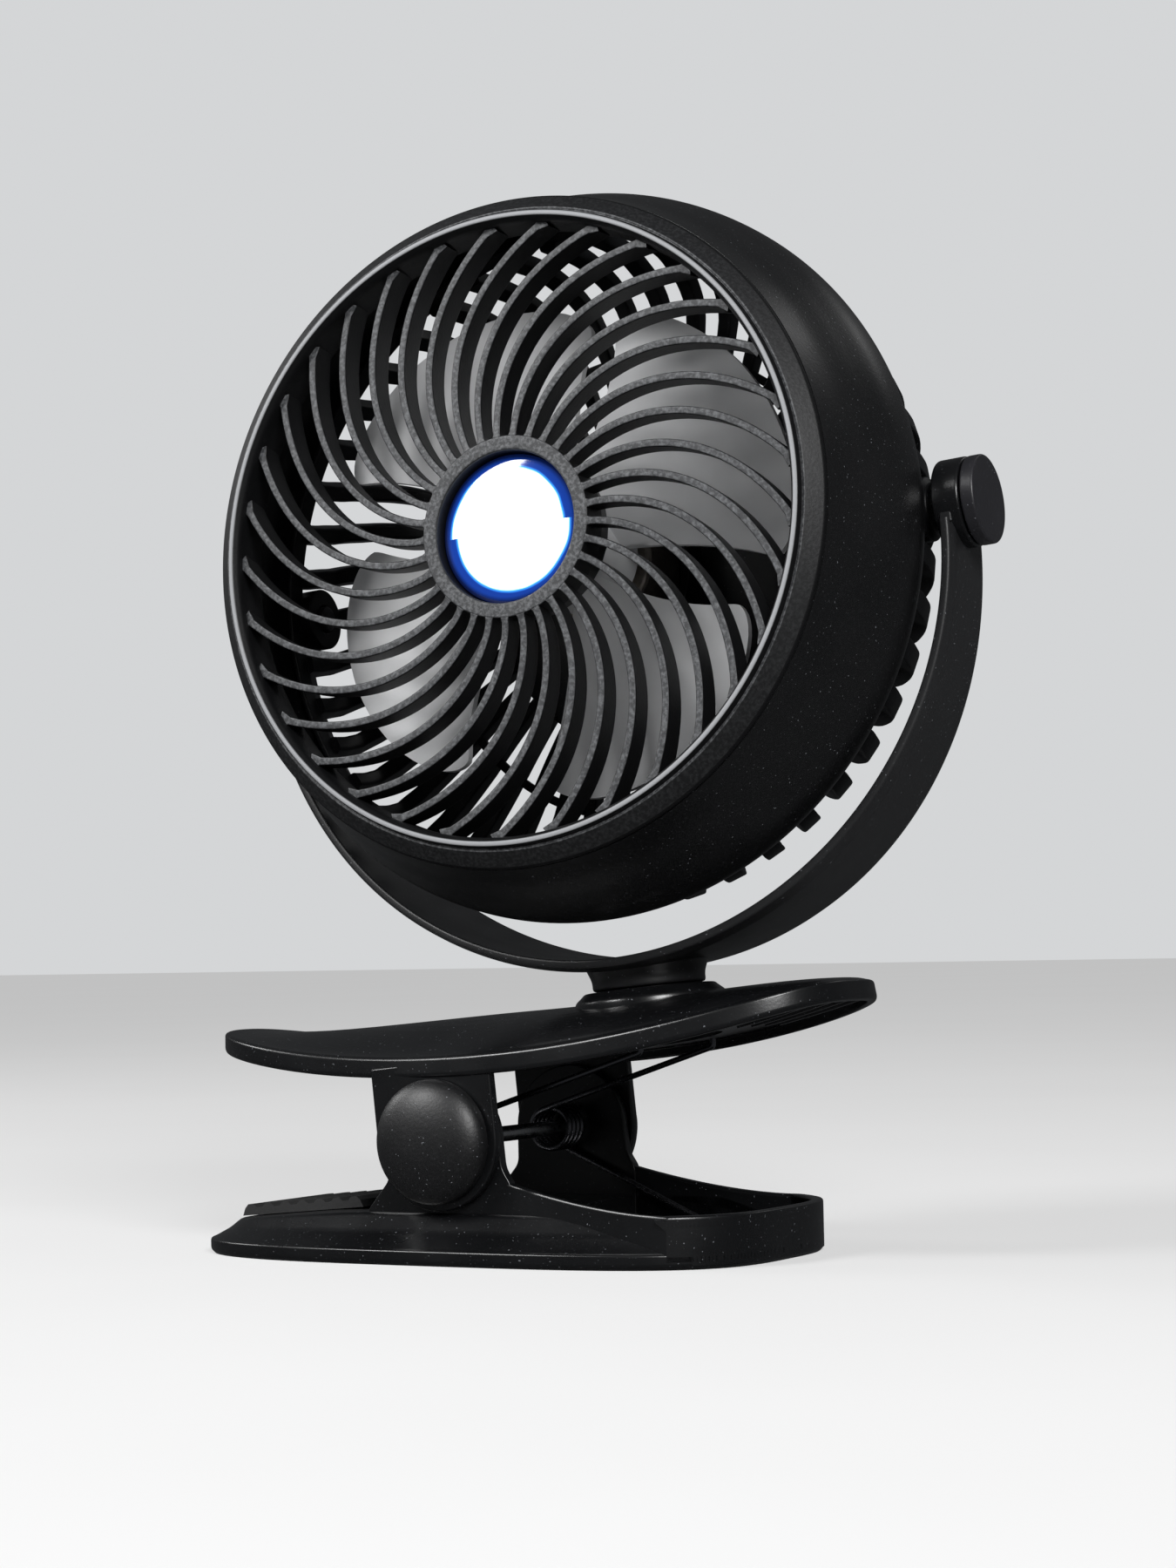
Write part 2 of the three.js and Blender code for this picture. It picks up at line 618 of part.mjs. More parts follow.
function swivelScrew() {
  const seat = PEDESTAL_TOP - BEARING_LENGTH - GAP - WASHER_THICKNESS - GAP;
  return panScrew(4, SCREW_RADIUS, 14).translate([POST_X, 0, seat]);
}

// ---------- the yoke, drawn about the tilt axis: X along it, Z up ----------
function yokeBand() {
  const steps = 28;
  const half = YOKE_THICKNESS / 2;
  const sections = [];
  for (let i = 0; i <= steps; i += 1) {
    const a = Math.PI + (Math.PI * i) / steps;
    const low = Math.max(-Math.sin(a), 0);
    const width = YOKE_HALF_WIDTH_TOP + (YOKE_HALF_WIDTH_LOW - YOKE_HALF_WIDTH_TOP) * low ** 1.5;
    const point = (r, y) => v3(r * Math.cos(a), y, r * Math.sin(a) - YOKE_DROP);
    sections.push([
      point(YOKE_RADIUS - half, -width + 0.5), point(YOKE_RADIUS - half, width - 0.5),
      point(YOKE_RADIUS - half + 0.5, width), point(YOKE_RADIUS + half - 1, width),
      point(YOKE_RADIUS + half, width * 0.72), point(YOKE_RADIUS + half, -width * 0.72),
      point(YOKE_RADIUS + half - 1, -width), point(YOKE_RADIUS - half + 0.5, -width),
    ]);
  }
  return loft(sections);
}

function yokeBoss() {
  const round = 0.8;
  const boss = alongX(turned([
    [0, BOSS_INNER], [BOSS_RADIUS - round, BOSS_INNER], [BOSS_RADIUS, BOSS_INNER + round],
    [BOSS_RADIUS, BOSS_OUTER - round], [BOSS_RADIUS - round, BOSS_OUTER], [0, BOSS_OUTER],
  ], 28));
  const arm = block(
    [YOKE_RADIUS - YOKE_THICKNESS / 2, -YOKE_HALF_WIDTH_TOP + 0.5, -YOKE_DROP - 1],
    [YOKE_RADIUS + YOKE_THICKNESS / 2, YOKE_HALF_WIDTH_TOP - 0.5, 0],
  );
  return join(boss, arm);
}

function yoke() {
  const post = PEDESTAL_TOP + GAP - TILT_HEIGHT;
  const floor = -YOKE_RADIUS - YOKE_DROP;
  const spigot = PEDESTAL_TOP - BEARING_LENGTH - TILT_HEIGHT;
  const column = turned([
    [0, spigot], [SPIGOT_RADIUS, spigot], [SPIGOT_RADIUS, post], [POST_RADIUS - 0.5, post],
    [POST_RADIUS, post + 0.5], [POST_RADIUS, floor - 3], [POST_RADIUS + 1.4, floor], [0, floor],
  ], 28);
  const pilot = rod(SCREW_RADIUS + GAP, spigot - 1, spigot + 13.5, 12);
  const stem = alongX(rod(KNOB_STEM_RADIUS + RUN, BOSS_INNER - 5, BOSS_OUTER + 5, 16));
  const boss = yokeBoss();
  const top = yokeInside();
  return cut(join(yokeBand(), cut(column, top), boss, mirrorX(boss)), pilot, stem, mirrorX(stem));
}

// The space inside the yoke's arc.
function yokeInside() {
  const clear = YOKE_RADIUS - YOKE_THICKNESS / 2 + 0.6;
  return alongY(rod(clear, -YOKE_RADIUS, YOKE_RADIUS, 72)).translate([0, 0, -YOKE_DROP]);
}

function pivotKnob() {
  const round = 0.7;
  const tip = DRUM_RADIUS - 9;
  return alongX(turned([
    [0, tip], [KNOB_STEM_RADIUS, tip], [KNOB_STEM_RADIUS, BOSS_OUTER + GAP],
    [BOSS_RADIUS - 0.8, BOSS_OUTER + GAP], [BOSS_RADIUS - 0.1, BOSS_OUTER + GAP + round],
    [BOSS_RADIUS - 0.1, KNOB_FACE - round], [BOSS_RADIUS - 0.9, KNOB_FACE], [0, KNOB_FACE],
  ], 24));
}

// ---------- the head, drawn with Z forward, X along the tilt axis, Y up ----------
// Outside of the drum from back to front.
function drumOutside() {
  const curve = new THREE.SplineCurve([
    [DRUM_RADIUS - 1.4, DRUM_BACK], [DRUM_RADIUS - 0.4, DRUM_BACK + 2], [DRUM_RADIUS, DRUM_BACK + 6],
    [DRUM_RADIUS - 0.7, DRUM_FRONT - 23.5], [DRUM_RADIUS - 3.2, DRUM_FRONT - 16],
    [DRUM_RADIUS - 6.2, DRUM_FRONT - 8], [DRUM_FRONT_RADIUS, DRUM_FRONT],
  ].map(([r, z]) => new THREE.Vector2(r, z)));
  return curve.getPoints(6).map((p) => [p.x, p.y]);
}

function drumShell() {
  const outside = drumOutside();
  const inside = outside.filter((_, i) => i % 2 === 0).map(([r, z]) => [r - WALL, z]);
  return turned([...outside, ...inside.reverse()], 50);
}

// Rim of the front grille: bead, slanting bezel and the tongue that sits inside the drum.
function grilleRim() {
  const tongue = DRUM_FRONT_RADIUS - WALL - GAP;
  return turned([
    [RIM_INNER, DRUM_FRONT - 5], [tongue, DRUM_FRONT - 6], [tongue, DRUM_FRONT + GAP],
    [DRUM_FRONT_RADIUS, DRUM_FRONT + GAP],
    [DRUM_FRONT_RADIUS - 0.4, DRUM_FRONT + 1], [BEAD_RADIUS + 1.4, BEAD_FRONT - 1.9],
    [BEAD_RADIUS, BEAD_FRONT], [RIM_INNER, BEAD_FRONT - 2.4],
  ], 66);
}

function grilleHub() {
  return turned([
    [HUB_BORE, HUB_BACK], [HUB_OUTER, HUB_BACK], [HUB_OUTER, HUB_FRONT - 0.8], [HUB_OUTER - 0.8, HUB_FRONT],
    [HUB_BORE + 0.8, HUB_FRONT], [HUB_BORE, HUB_FRONT - 0.8],
  ], 33);
}

// One spiral vane from the hub to the rim.
function vane() {
  const steps = 3;
  const from = HUB_OUTER - 0.8;
  const to = RIM_INNER + 0.5;
  const place = (r) => {
    const t = Math.max((r - VANE_BEND_RADIUS) / VANE_REACH, 0);
    const angle = rad(VANE_START - VANE_SWEEP * t ** 1.42);
    return v3(r * Math.cos(angle), r * Math.sin(angle), 0);
  };
  const half = VANE_THICKNESS / 2;
  const sections = [];
  for (let i = 0; i <= steps; i += 1) {
    const r = from + ((to - from) * i) / steps;
    const here = place(r);
    const along = place(r + 0.5).sub(place(r - 0.5)).normalize();
    const side = v3(-along.y, along.x, 0);
    const front = VANE_FRONT + 0.7 * (1 - i / steps);
    const back = front - VANE_DEPTH - 1.4 * (i / steps);
    const at = (across, z) => here.clone().addScaledVector(side, across).setZ(z);
    sections.push([at(-half * 0.7, back), at(half * 0.7, back), at(half, front), at(-half, front)]);
  }
  return loft(sections);
}

function frontGrille() {
  const one = vane();
  const vanes = Array.from({ length: VANES }, (_, i) => one.rotate([0, 0, (360 * i) / VANES]));
  return cut(join(grilleRim(), grilleHub(), ...vanes), rod(HUB_BORE, HUB_BACK - 3, HUB_FRONT + 3, 33));
}

// ---------- lamp ----------
function lampHousing() {
  return turned([
    [0, LAMP_BACK], [HUB_OUTER - 5, LAMP_BACK], [HUB_OUTER - 2, LAMP_BACK + 3], [HUB_OUTER - 0.6, HUB_BACK - GAP],
    [HUB_BORE, HUB_BACK - GAP], [HUB_BORE - 0.4, LAMP_BACK + 3.4], [HUB_BORE - 3, LAMP_BACK + 1.6],
    [0, LAMP_BACK + 1.6],
  ], 24);
}

function lampBoard() {
  return rod(HUB_BORE - 4.2, LAMP_BACK + 1.6 + GAP, LAMP_BACK + 3.2 + GAP, 24);
}

function lampChip() {
  const seat = LAMP_BACK + 3.2 + 2 * GAP;
  const base = block([-3.5, -3.5, seat], [3.5, 3.5, seat + 0.8]);
  const domed = turned([[0, seat + 0.5], [2.6, seat + 0.5], [2.2, seat + 1.6], [0, seat + 2.1]], 20);
  return join(base, domed);
}

function lampReflector() {
  const back = LAMP_BACK + 3.2 + 2 * GAP;
  const front = LENS_FRONT - LENS_THICKNESS - GAP;
  const mouth = HUB_BORE - GAP - 0.6;
  const bowl = Array.from({ length: 5 }, (_, i) => {
    const t = i / 4;
    return [5.4 + (mouth - 1 - 5.4) * Math.sqrt(t), back + (front - back) * t];
  });
  const outside = [...bowl].reverse().map(([r, z]) => [r + 1, z]);
  return turned([...bowl, ...outside], 24);
}

function lampLens() {
  const back = LENS_FRONT - LENS_THICKNESS;
  const edge = HUB_BORE - GAP;
  return turned([
    [0, back], [edge - 0.3, back], [edge, back + 0.4], [edge, LENS_FRONT - 0.7], [edge - 0.7, LENS_FRONT - 0.1],
    [edge * 0.6, LENS_FRONT + 0.45], [0, LENS_FRONT + 0.7],
  ], 24);
}

// ---------- impeller and motor ----------
function blade() {
  const radial = 7;
  const across = 6;
  const root = HUB_RADIUS - 1.5;
  const grid = (offset) => Array.from({ length: radial + 1 }, (_, i) => {
    const t = i / radial;
    const r = root + (IMPELLER_RADIUS - root) * Math.sin((t * Math.PI) / 2) ** 0.9;
    const tip = Math.max(1 + (r - IMPELLER_RADIUS) / BLADE_TIP, 0);
    const rounding = Math.sqrt(Math.max(1 - tip ** 3.2, 0.02));
    const span = rad(BLADE_SPAN) * (0.72 + 0.28 * Math.min(t * 1.6, 1)) * rounding;
    return Array.from({ length: across + 1 }, (_, j) => {
      const u = j / across - 0.5;
      const angle = u * span + rad(4) * t;
      const lift = (BLADE_FRONT - BLADE_BACK - BLADE_THICKNESS) * (0.5 + u * rounding * (0.98 - 0.25 * t));
      return v3(r * Math.cos(angle), r * Math.sin(angle), BLADE_BACK + lift + offset);
    });
  });
  return slab(grid(BLADE_THICKNESS), grid(0));
}

// A closed body between two grids of points of the same size.
function slab(front, back) {
  const rows = front.length;
  const columns = front[0].length;
  const position = [...front.flat(), ...back.flat()].flatMap((p) => [p.x, p.y, p.z]);
  const at = (side, i, j) => side * rows * columns + i * columns + j;
  const index = [];
  const quad = (a, b, c, d) => index.push(a, b, c, a, c, d);
  for (let i = 0; i < rows - 1; i += 1) {
    for (let j = 0; j < columns - 1; j += 1) {
      quad(at(0, i, j), at(0, i + 1, j), at(0, i + 1, j + 1), at(0, i, j + 1));
      quad(at(1, i, j), at(1, i, j + 1), at(1, i + 1, j + 1), at(1, i + 1, j));
    }
  }
  for (let i = 0; i < rows - 1; i += 1) {
    quad(at(0, i, 0), at(1, i, 0), at(1, i + 1, 0), at(0, i + 1, 0));
    const last = columns - 1;
    quad(at(0, i + 1, last), at(1, i + 1, last), at(1, i, last), at(0, i, last));
  }
  for (let j = 0; j < columns - 1; j += 1) {
    quad(at(0, 0, j + 1), at(1, 0, j + 1), at(1, 0, j), at(0, 0, j));
    const last = rows - 1;
    quad(at(0, last, j), at(1, last, j), at(1, last, j + 1), at(0, last, j + 1));
  }
  const geometry = new THREE.BufferGeometry();
  geometry.setAttribute("position", new THREE.Float32BufferAttribute(position, 3));
  geometry.setIndex(index);
  const made = solid(geometry);
  return made.volume() < 0 ? solid(flipped(geometry)) : made;
}

function impeller() {
  const nose = BLADE_FRONT - 0.5;
  const hub = turned([
    [0, BLADE_BACK - 1], [HUB_RADIUS, BLADE_BACK - 1], [HUB_RADIUS, nose - 4], [HUB_RADIUS - 1.2, nose - 1.4],
    [HUB_RADIUS - 4, nose], [0, nose + 0.4],
  ], 24);
  const one = blade();
  const blades = Array.from({ length: BLADES }, (_, i) => one.rotate([0, 0, 45 + (360 * i) / BLADES]));
  const bore = rod(SHAFT_RADIUS + GAP, -10, nose - 4, 12);
  return cut(join(hub, ...blades), bore);
}

function motorCan() {
  const round = 1.5;
  const wall = 1.6;
  return turned([
    [SHAFT_RADIUS + RUN + 2.4, MOTOR_FRONT - wall], [MOTOR_RADIUS - wall, MOTOR_FRONT - wall],
    [MOTOR_RADIUS - wall, MOTOR_BACK + wall + GAP], [MOTOR_RADIUS, MOTOR_BACK + wall + GAP],
    [MOTOR_RADIUS, MOTOR_FRONT - round], [MOTOR_RADIUS - round, MOTOR_FRONT],
    [SHAFT_RADIUS + RUN + 2.4, MOTOR_FRONT],
  ], 24);
}

function motorBush() {
  return ring(SHAFT_RADIUS + RUN, SHAFT_RADIUS + RUN + 2.1, MOTOR_FRONT - 2.4, MOTOR_FRONT + 1, 16);
}

function motorCap() {
  const wall = 1.6;
  return turned([
    [0, MOTOR_BACK], [MOTOR_RADIUS, MOTOR_BACK], [MOTOR_RADIUS, MOTOR_BACK + wall],
    [MOTOR_RADIUS - wall - GAP, MOTOR_BACK + wall], [MOTOR_RADIUS - wall - GAP, MOTOR_BACK + 3.4],
    [0, MOTOR_BACK + 3.4],
  ], 24);
}

function motorCore() {
  return ring(SHAFT_RADIUS + GAP, MOTOR_RADIUS - 3, MOTOR_BACK + 5, MOTOR_FRONT - 4.4, 20);
}

function motorShaft() {
  return rod(SHAFT_RADIUS, MOTOR_BACK + 3.4 + GAP, BLADE_FRONT - 4.5 - GAP, 20);
}

// ---------- rear shell ----------
// Outside of the rear grille from its rim to the flat back.
function rearOutside() {
  const depth = REAR_FACE - REAR_RIM_BACK;
  const points = REAR_CORNER.map(([inset, share]) => [REAR_RIM_RADIUS - inset, REAR_RIM_BACK + share * depth]);
  const curve = new THREE.SplineCurve(points.map(([r, z]) => new THREE.Vector2(r, z)));
  return [0, 0.4, 0.62, 0.8, 1].map((t) => curve.getPoint(t)).map((p) => [p.x, p.y]);
}

// One rib of the rear grille, from the rim round the corner to the centre plate.
function rearRib() {
  const [[rimR, rimZ], ...outside] = rearOutside();
  const path = [[rimR, rimZ + 0.6], ...outside, [REAR_SLOT_INNER - 1, REAR_FACE + 0.4]];
  const last = path.length - 1;
  const half = REAR_RIB_WIDTH / 2;
  return loft(path.map(([r, z], i) => {
    const before = path[Math.max(i - 1, 0)];
    const after = path[Math.min(i + 1, last)];
    const length = Math.hypot(after[0] - before[0], after[1] - before[1]);
    const inward = [(after[1] - before[1]) / length, -(after[0] - before[0]) / length];
    const inner = [r + inward[0] * REAR_RIB_DEPTH, z + inward[1] * REAR_RIB_DEPTH];
    const twist = rad(REAR_RIB_SWEEP) * (1 - i / last);
    const at = ([radius, height], across) => v3(radius, across, height).applyAxisAngle(v3(0, 0, 1), twist);
    return [at([r, z], -half), at([r, z], half), at(inner, half * 0.7), at(inner, -half * 0.7)];
  }));
}

// Pad and neck that carry the head on its knob.
function trunnionBoss() {
  return alongX(turned([
    [0, REAR_RIM_RADIUS - 5.4], [TRUNNION_RADIUS, REAR_RIM_RADIUS - 5.4], [TRUNNION_RADIUS, REAR_RIM_RADIUS],
    [TRUNNION_NECK, REAR_RIM_RADIUS + 0.8], [TRUNNION_NECK, BOSS_INNER - GAP], [0, BOSS_INNER - GAP],
  ], 20));
}

function rearShell() {
  const lip = DRUM_RADIUS - 1.4 - WALL - GAP;
  const seam = DRUM_BACK - GAP;
  const rim = turned([
    [REAR_RIM_RADIUS, seam], [REAR_RIM_RADIUS, REAR_RIM_BACK], [lip - 1.4, REAR_RIM_BACK],
    [lip - 1.4, DRUM_BACK + 3], [lip - 0.2, DRUM_BACK + 3], [lip - 0.2, seam],
  ], REAR_RIBS);
  const centre = turned([
    [0, REAR_FACE], [REAR_SLOT_INNER, REAR_FACE], [REAR_SLOT_INNER, REAR_FACE + WALL], [0, REAR_FACE + WALL],
  ], REAR_RIBS);
  const one = rearRib();
  const ribs = Array.from({ length: REAR_RIBS }, (_, i) => one.rotate([0, 0, (360 * i) / REAR_RIBS]));
  const hoopBack = REAR_FACE + 0.8;
  const hoop = ring(REAR_RING_RADIUS - 1, REAR_RING_RADIUS + 1, hoopBack, hoopBack + REAR_RING_DEPTH, REAR_RIBS)
    .rotate([0, 0, REAR_RIB_SWEEP / 5]);
  const cup = ring(MOTOR_RADIUS + GAP, MOTOR_RADIUS + GAP + WALL, REAR_FACE + 1, MOTOR_BACK + 9, 24);
  const boss = trunnionBoss();
  const bore = alongX(rod(KNOB_STEM_RADIUS + GAP, DRUM_RADIUS - 12, BOSS_INNER + CLEAR, 16));
  return cut(join(rim, centre, ...ribs, hoop, cup, boss, mirrorX(boss)), bore, mirrorX(bore));
}

// ---------- control and battery pod ----------
function podShell() {
  const round = 4;
  const corner = arc(POD_RADIUS - round, POD_BACK + round, round, 0, -90, 4);
  const inner = arc(POD_RADIUS - round, POD_BACK + round, round - WALL, -90, 0, 2);
  const front = REAR_FACE - GAP;
  const shell = turned([
    [POD_RADIUS, front], ...corner, [0, POD_BACK], [0, POD_BACK + WALL], ...inner,
    [POD_RADIUS - WALL, front],
  ], 36);
  const buttons = [-BUTTON_X, BUTTON_X].map((x) =>
    rod(BUTTON_RADIUS + GAP, POD_BACK - 2, POD_BACK + 5, 20).translate([x, BUTTON_Y, 0]));
  const door = prism(doorOutline(0), POD_BACK - 2, POD_BACK + 5);
  const port = block([-5, -POD_RADIUS - 3, PORT_Z - 2.1], [5, -POD_RADIUS + 5, PORT_Z + 2.1]);
  const posts = [-BOARD_POST_X, BOARD_POST_X].map((x) =>
    rod(BOARD_POST_RADIUS, POD_BACK + 1, PLUNGER + SWITCH_HEIGHT, 12).translate([x, BUTTON_Y - 1, 0]));
  return join(cut(shell, ...buttons, door, port), ...posts);
}

const PORT_Z = -29;
const DOOR_HALF = 29.4;
const DOOR_LOW = -21;
const DOOR_HIGH = 3;

// The battery door's outline, a rectangle with round corners.
function doorOutline(inset) {
  const radius = 3 - inset / 2;
  const x = DOOR_HALF - inset - radius;
  const low = DOOR_LOW + inset + radius;
  const high = DOOR_HIGH - inset - radius;
  return [
    ...arc(x, low, radius, -90, 0, 4), ...arc(x, high, radius, 0, 90, 4),
    ...arc(-x, high, radius, 90, 180, 4), ...arc(-x, low, radius, 180, 270, 4),
  ];
}

function batteryDoor() {
  const plate = prism(doorOutline(GAP), POD_BACK, POD_BACK + WALL);
  const grips = [-4, 0, 4].map((x) => block([x - 0.8, -17, POD_BACK - 0.7], [x + 0.8, -9, POD_BACK + 0.5]));
  return join(plate, ...grips);
}

function batteryCell() {
  const y = (DOOR_LOW + DOOR_HIGH) / 2;
  const z = POD_BACK + WALL + GAP + CELL_RADIUS;
  const half = CELL_LENGTH / 2;
  return alongX(turned([
    [0, -half], [CELL_RADIUS - 0.6, -half], [CELL_RADIUS, -half + 0.6], [CELL_RADIUS, half - 0.6],
    [CELL_RADIUS - 0.6, half], [2.6, half], [2.6, half + 0.9], [0, half + 0.9],
  ], 18)).translate([0, y, z]);
}

// Height of a switch's plunger, which a full press of its button just reaches.
const PLUNGER = POD_BACK + WALL + GAP + BUTTON_FLANGE + BUTTON_TRAVEL + GAP;
const SWITCH_HEIGHT = 2.2;

function controlBoard() {
  const z = PLUNGER + SWITCH_HEIGHT + GAP;
  const half = BOARD_POST_X + BOARD_POST_RADIUS;
  return block([-half, BUTTON_Y - 8, z], [half, BUTTON_Y + 6, z + BOARD_THICKNESS]);
}

function tactSwitch(x) {
  const base = block([x - 3, BUTTON_Y - 3, PLUNGER + 0.6], [x + 3, BUTTON_Y + 3, PLUNGER + SWITCH_HEIGHT]);
  return join(base, rod(1.4, PLUNGER, PLUNGER + 1, 12).translate([x, BUTTON_Y, 0]));
}

function button(x) {
  const proud = 1.6;
  const top = POD_BACK - proud;
  const skirt = POD_BACK + WALL + GAP;
  return turned([
    [0, top], [BUTTON_RADIUS - 0.8, top], [BUTTON_RADIUS, top + 0.7], [BUTTON_RADIUS, skirt],
    [BUTTON_RADIUS + 1.1, skirt], [BUTTON_RADIUS + 1.1, skirt + BUTTON_FLANGE], [0, skirt + BUTTON_FLANGE],
  ], 20).translate([x, BUTTON_Y, 0]);
}

function chargingPort() {
  const y = -POD_RADIUS + WALL;
  const outer = block([-4.5, y - 1.6, PORT_Z - 1.6], [4.5, y + 5.6, PORT_Z + 1.6]);
  const mouth = block([-3.9, y - 3, PORT_Z - 1], [3.9, y + 4, PORT_Z + 1]);
  return cut(outer, mouth);
}

// ---------- assembly ----------
const fan = new THREE.Group();

fan.add(piece("lower_jaw", lowerJaw(), BLACK));
fan.add(piece("lower_grip_pad", lowerPad(), RUBBER));
const rodEnd = EAR_OUTER + GAP + ROD_IN_CAP;
const pivotRod = alongY(rod(ROD_RADIUS, -rodEnd, rodEnd, 20)).translate([0, 0, PIVOT_HEIGHT]);
fan.add(piece("pivot_rod", pivotRod, STEEL));
const farCap = alongY(domeCap()).translate([0, 0, PIVOT_HEIGHT]);
fan.add(piece("pivot_cap_near", mirrorY(farCap), BLACK));
fan.add(piece("pivot_cap_far", farCap, BLACK));
const farSpring = spring();
fan.add(piece("clip_spring_near", mirrorY(farSpring), DARK_STEEL));
fan.add(piece("clip_spring_far", farSpring, DARK_STEEL));

const upper = new THREE.Group();
upper.position.set(0, 0, PIVOT_HEIGHT);
upper.rotation.y = -rad(CLIP_OPEN);
fan.add(upper);
upper.add(piece("upper_jaw", upperJaw(), BLACK));
upper.add(piece("upper_grip_pad", upperPad(), RUBBER));

const swivel = new THREE.Group();
swivel.position.set(POST_X, 0, TILT_HEIGHT);
swivel.rotation.z = rad(SWIVEL);
upper.add(swivel);
const toYoke = [-POST_X, 0, -TILT_HEIGHT];
swivel.add(piece("swivel_washer", swivelWasher().translate(toYoke), STEEL));
swivel.add(piece("swivel_screw", swivelScrew().translate(toYoke), STEEL));
swivel.add(piece("yoke", yoke(), BLACK));
swivel.add(piece("pivot_knob_right", pivotKnob(), BLACK));
swivel.add(piece("pivot_knob_left", mirrorX(pivotKnob()), BLACK));

const head = new THREE.Group();
head.rotation.x = Math.PI / 2 - rad(HEAD_TILT);
swivel.add(head);
head.add(piece("drum_shell", drumShell(), BLACK));
head.add(piece("front_grille", frontGrille(), BLACK));
head.add(piece("lamp_housing", lampHousing(), BLACK_MATT));
head.add(piece("lamp_board", lampBoard(), BOARD));
head.add(piece("lamp_led", lampChip(), LED));
head.add(piece("lamp_reflector", lampReflector(), BRIGHT));
head.add(piece("lamp_lens", lampLens(), LENS));
head.add(piece("rear_shell", rearShell(), BLACK_MATT));
head.add(piece("motor_can", motorCan(), STEEL));
head.add(piece("motor_cap", motorCap(), BLACK_MATT));
head.add(piece("motor_bush", motorBush(), BRASS));
head.add(piece("motor_core", motorCore(), DARK_STEEL));
head.add(piece("motor_shaft", motorShaft(), STEEL));
head.add(piece("impeller", impeller(), GREY));
head.add(piece("pod_shell", podShell(), BLACK_MATT));
head.add(piece("battery_door", batteryDoor(), BLACK_MATT));
head.add(piece("battery_cell", batteryCell(), CELL));
head.add(piece("control_board", controlBoard(), BOARD));
head.add(piece("power_switch", tactSwitch(-BUTTON_X), BLACK_MATT));
head.add(piece("lamp_switch", tactSwitch(BUTTON_X), BLACK_MATT));
head.add(piece("power_button", button(-BUTTON_X), GREY));
head.add(piece("lamp_button", button(BUTTON_X), GREY));
head.add(piece("charging_port", chargingPort(), STEEL));

export default fan;
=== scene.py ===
import bpy
import bmesh
import math
from mathutils import Matrix, Vector


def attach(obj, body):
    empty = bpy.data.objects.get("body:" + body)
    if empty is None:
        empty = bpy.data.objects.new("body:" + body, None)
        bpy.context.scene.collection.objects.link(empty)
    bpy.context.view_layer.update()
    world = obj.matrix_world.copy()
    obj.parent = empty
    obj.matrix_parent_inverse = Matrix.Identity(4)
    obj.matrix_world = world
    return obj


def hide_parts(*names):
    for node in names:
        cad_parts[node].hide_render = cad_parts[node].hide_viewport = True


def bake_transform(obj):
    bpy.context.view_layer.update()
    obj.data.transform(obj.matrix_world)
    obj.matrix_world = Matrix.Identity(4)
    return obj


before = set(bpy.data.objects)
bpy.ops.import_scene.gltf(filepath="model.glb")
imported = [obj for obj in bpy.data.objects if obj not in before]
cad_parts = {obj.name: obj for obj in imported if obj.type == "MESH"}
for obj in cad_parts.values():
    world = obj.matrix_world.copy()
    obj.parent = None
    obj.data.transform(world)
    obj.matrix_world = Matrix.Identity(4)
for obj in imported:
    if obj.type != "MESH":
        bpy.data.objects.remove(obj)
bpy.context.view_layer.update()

MM = 0.001
GAP = 0.3
WALL = 2.2

# the clip
PIVOT_HEIGHT = 27
CLIP_OPEN = 5.6
FOOT_HALF_LENGTH = 72
FOOT_HALF_WIDTH = 41.6
FOOT_SQUARENESS = 3.3
FLANGE_HEIGHT = 3.6
DECK_HEIGHT = 10.8
DECK_TIP_DROP = 3.6
DECK_INSET_END = 5
DECK_INSET_SIDE = 10.2
TRAY_FLOOR = 2.8
TRAY_WALL = 2.6
NOSE_HEIGHT = 11.6
TRAY_RISE = 6.8
NOTCH_X = FOOT_HALF_LENGTH - 14.5
NOTCH_SLANT = 5.4
EAR_OUTER = 33
EAR_THICKNESS = 2.6
EAR_RADIUS = 14.6
EAR_FLARE = 6
UPPER_EAR_RADIUS = 15.6
ROD_RADIUS = 1.8
ROD_IN_CAP = 3.6
DOME_RADIUS = 14
DOME_RIM = 1.6
DOME_HEIGHT = 7.4
PLATE_LENGTH = 170
PLATE_CENTRE_X = 12
PLATE_HALF_WIDTH = 33.6
PLATE_SQUARENESS = 2.35
HANDLE_SQUARENESS = 3.1
HANDLE_TRIM = 5.2
CROWN_HEIGHT = 8.8
CROWN_JAW_POWER = 1.5
CROWN_HANDLE_POWER = 0.75
PLATE_RIM_HEIGHT = 13.7
PLATE_LOW_X = 20.4
PLATE_BEND_RADIUS = 325
RIM_DEPTH = 4.8
PLATE_THICKNESS = 2.4
POST_X = 40.4
PEDESTAL_TOP = 27.8
HANDLE_RIBS_START = POST_X + 25
RING_RADIUS = 15.4
RING_FLARE = 1.8
RING_TOP = PEDESTAL_TOP + 1.6
BEARING_LENGTH = 6
WASHER_RADIUS = 11
SPIGOT_RADIUS = 8
WIRE = 1.4
COIL_RADIUS = 4.7
COIL_PITCH = 1.95
COIL_TURNS = 5
COIL_Y = 17.5
UPPER_LEG = 46
LOWER_LEG = 38

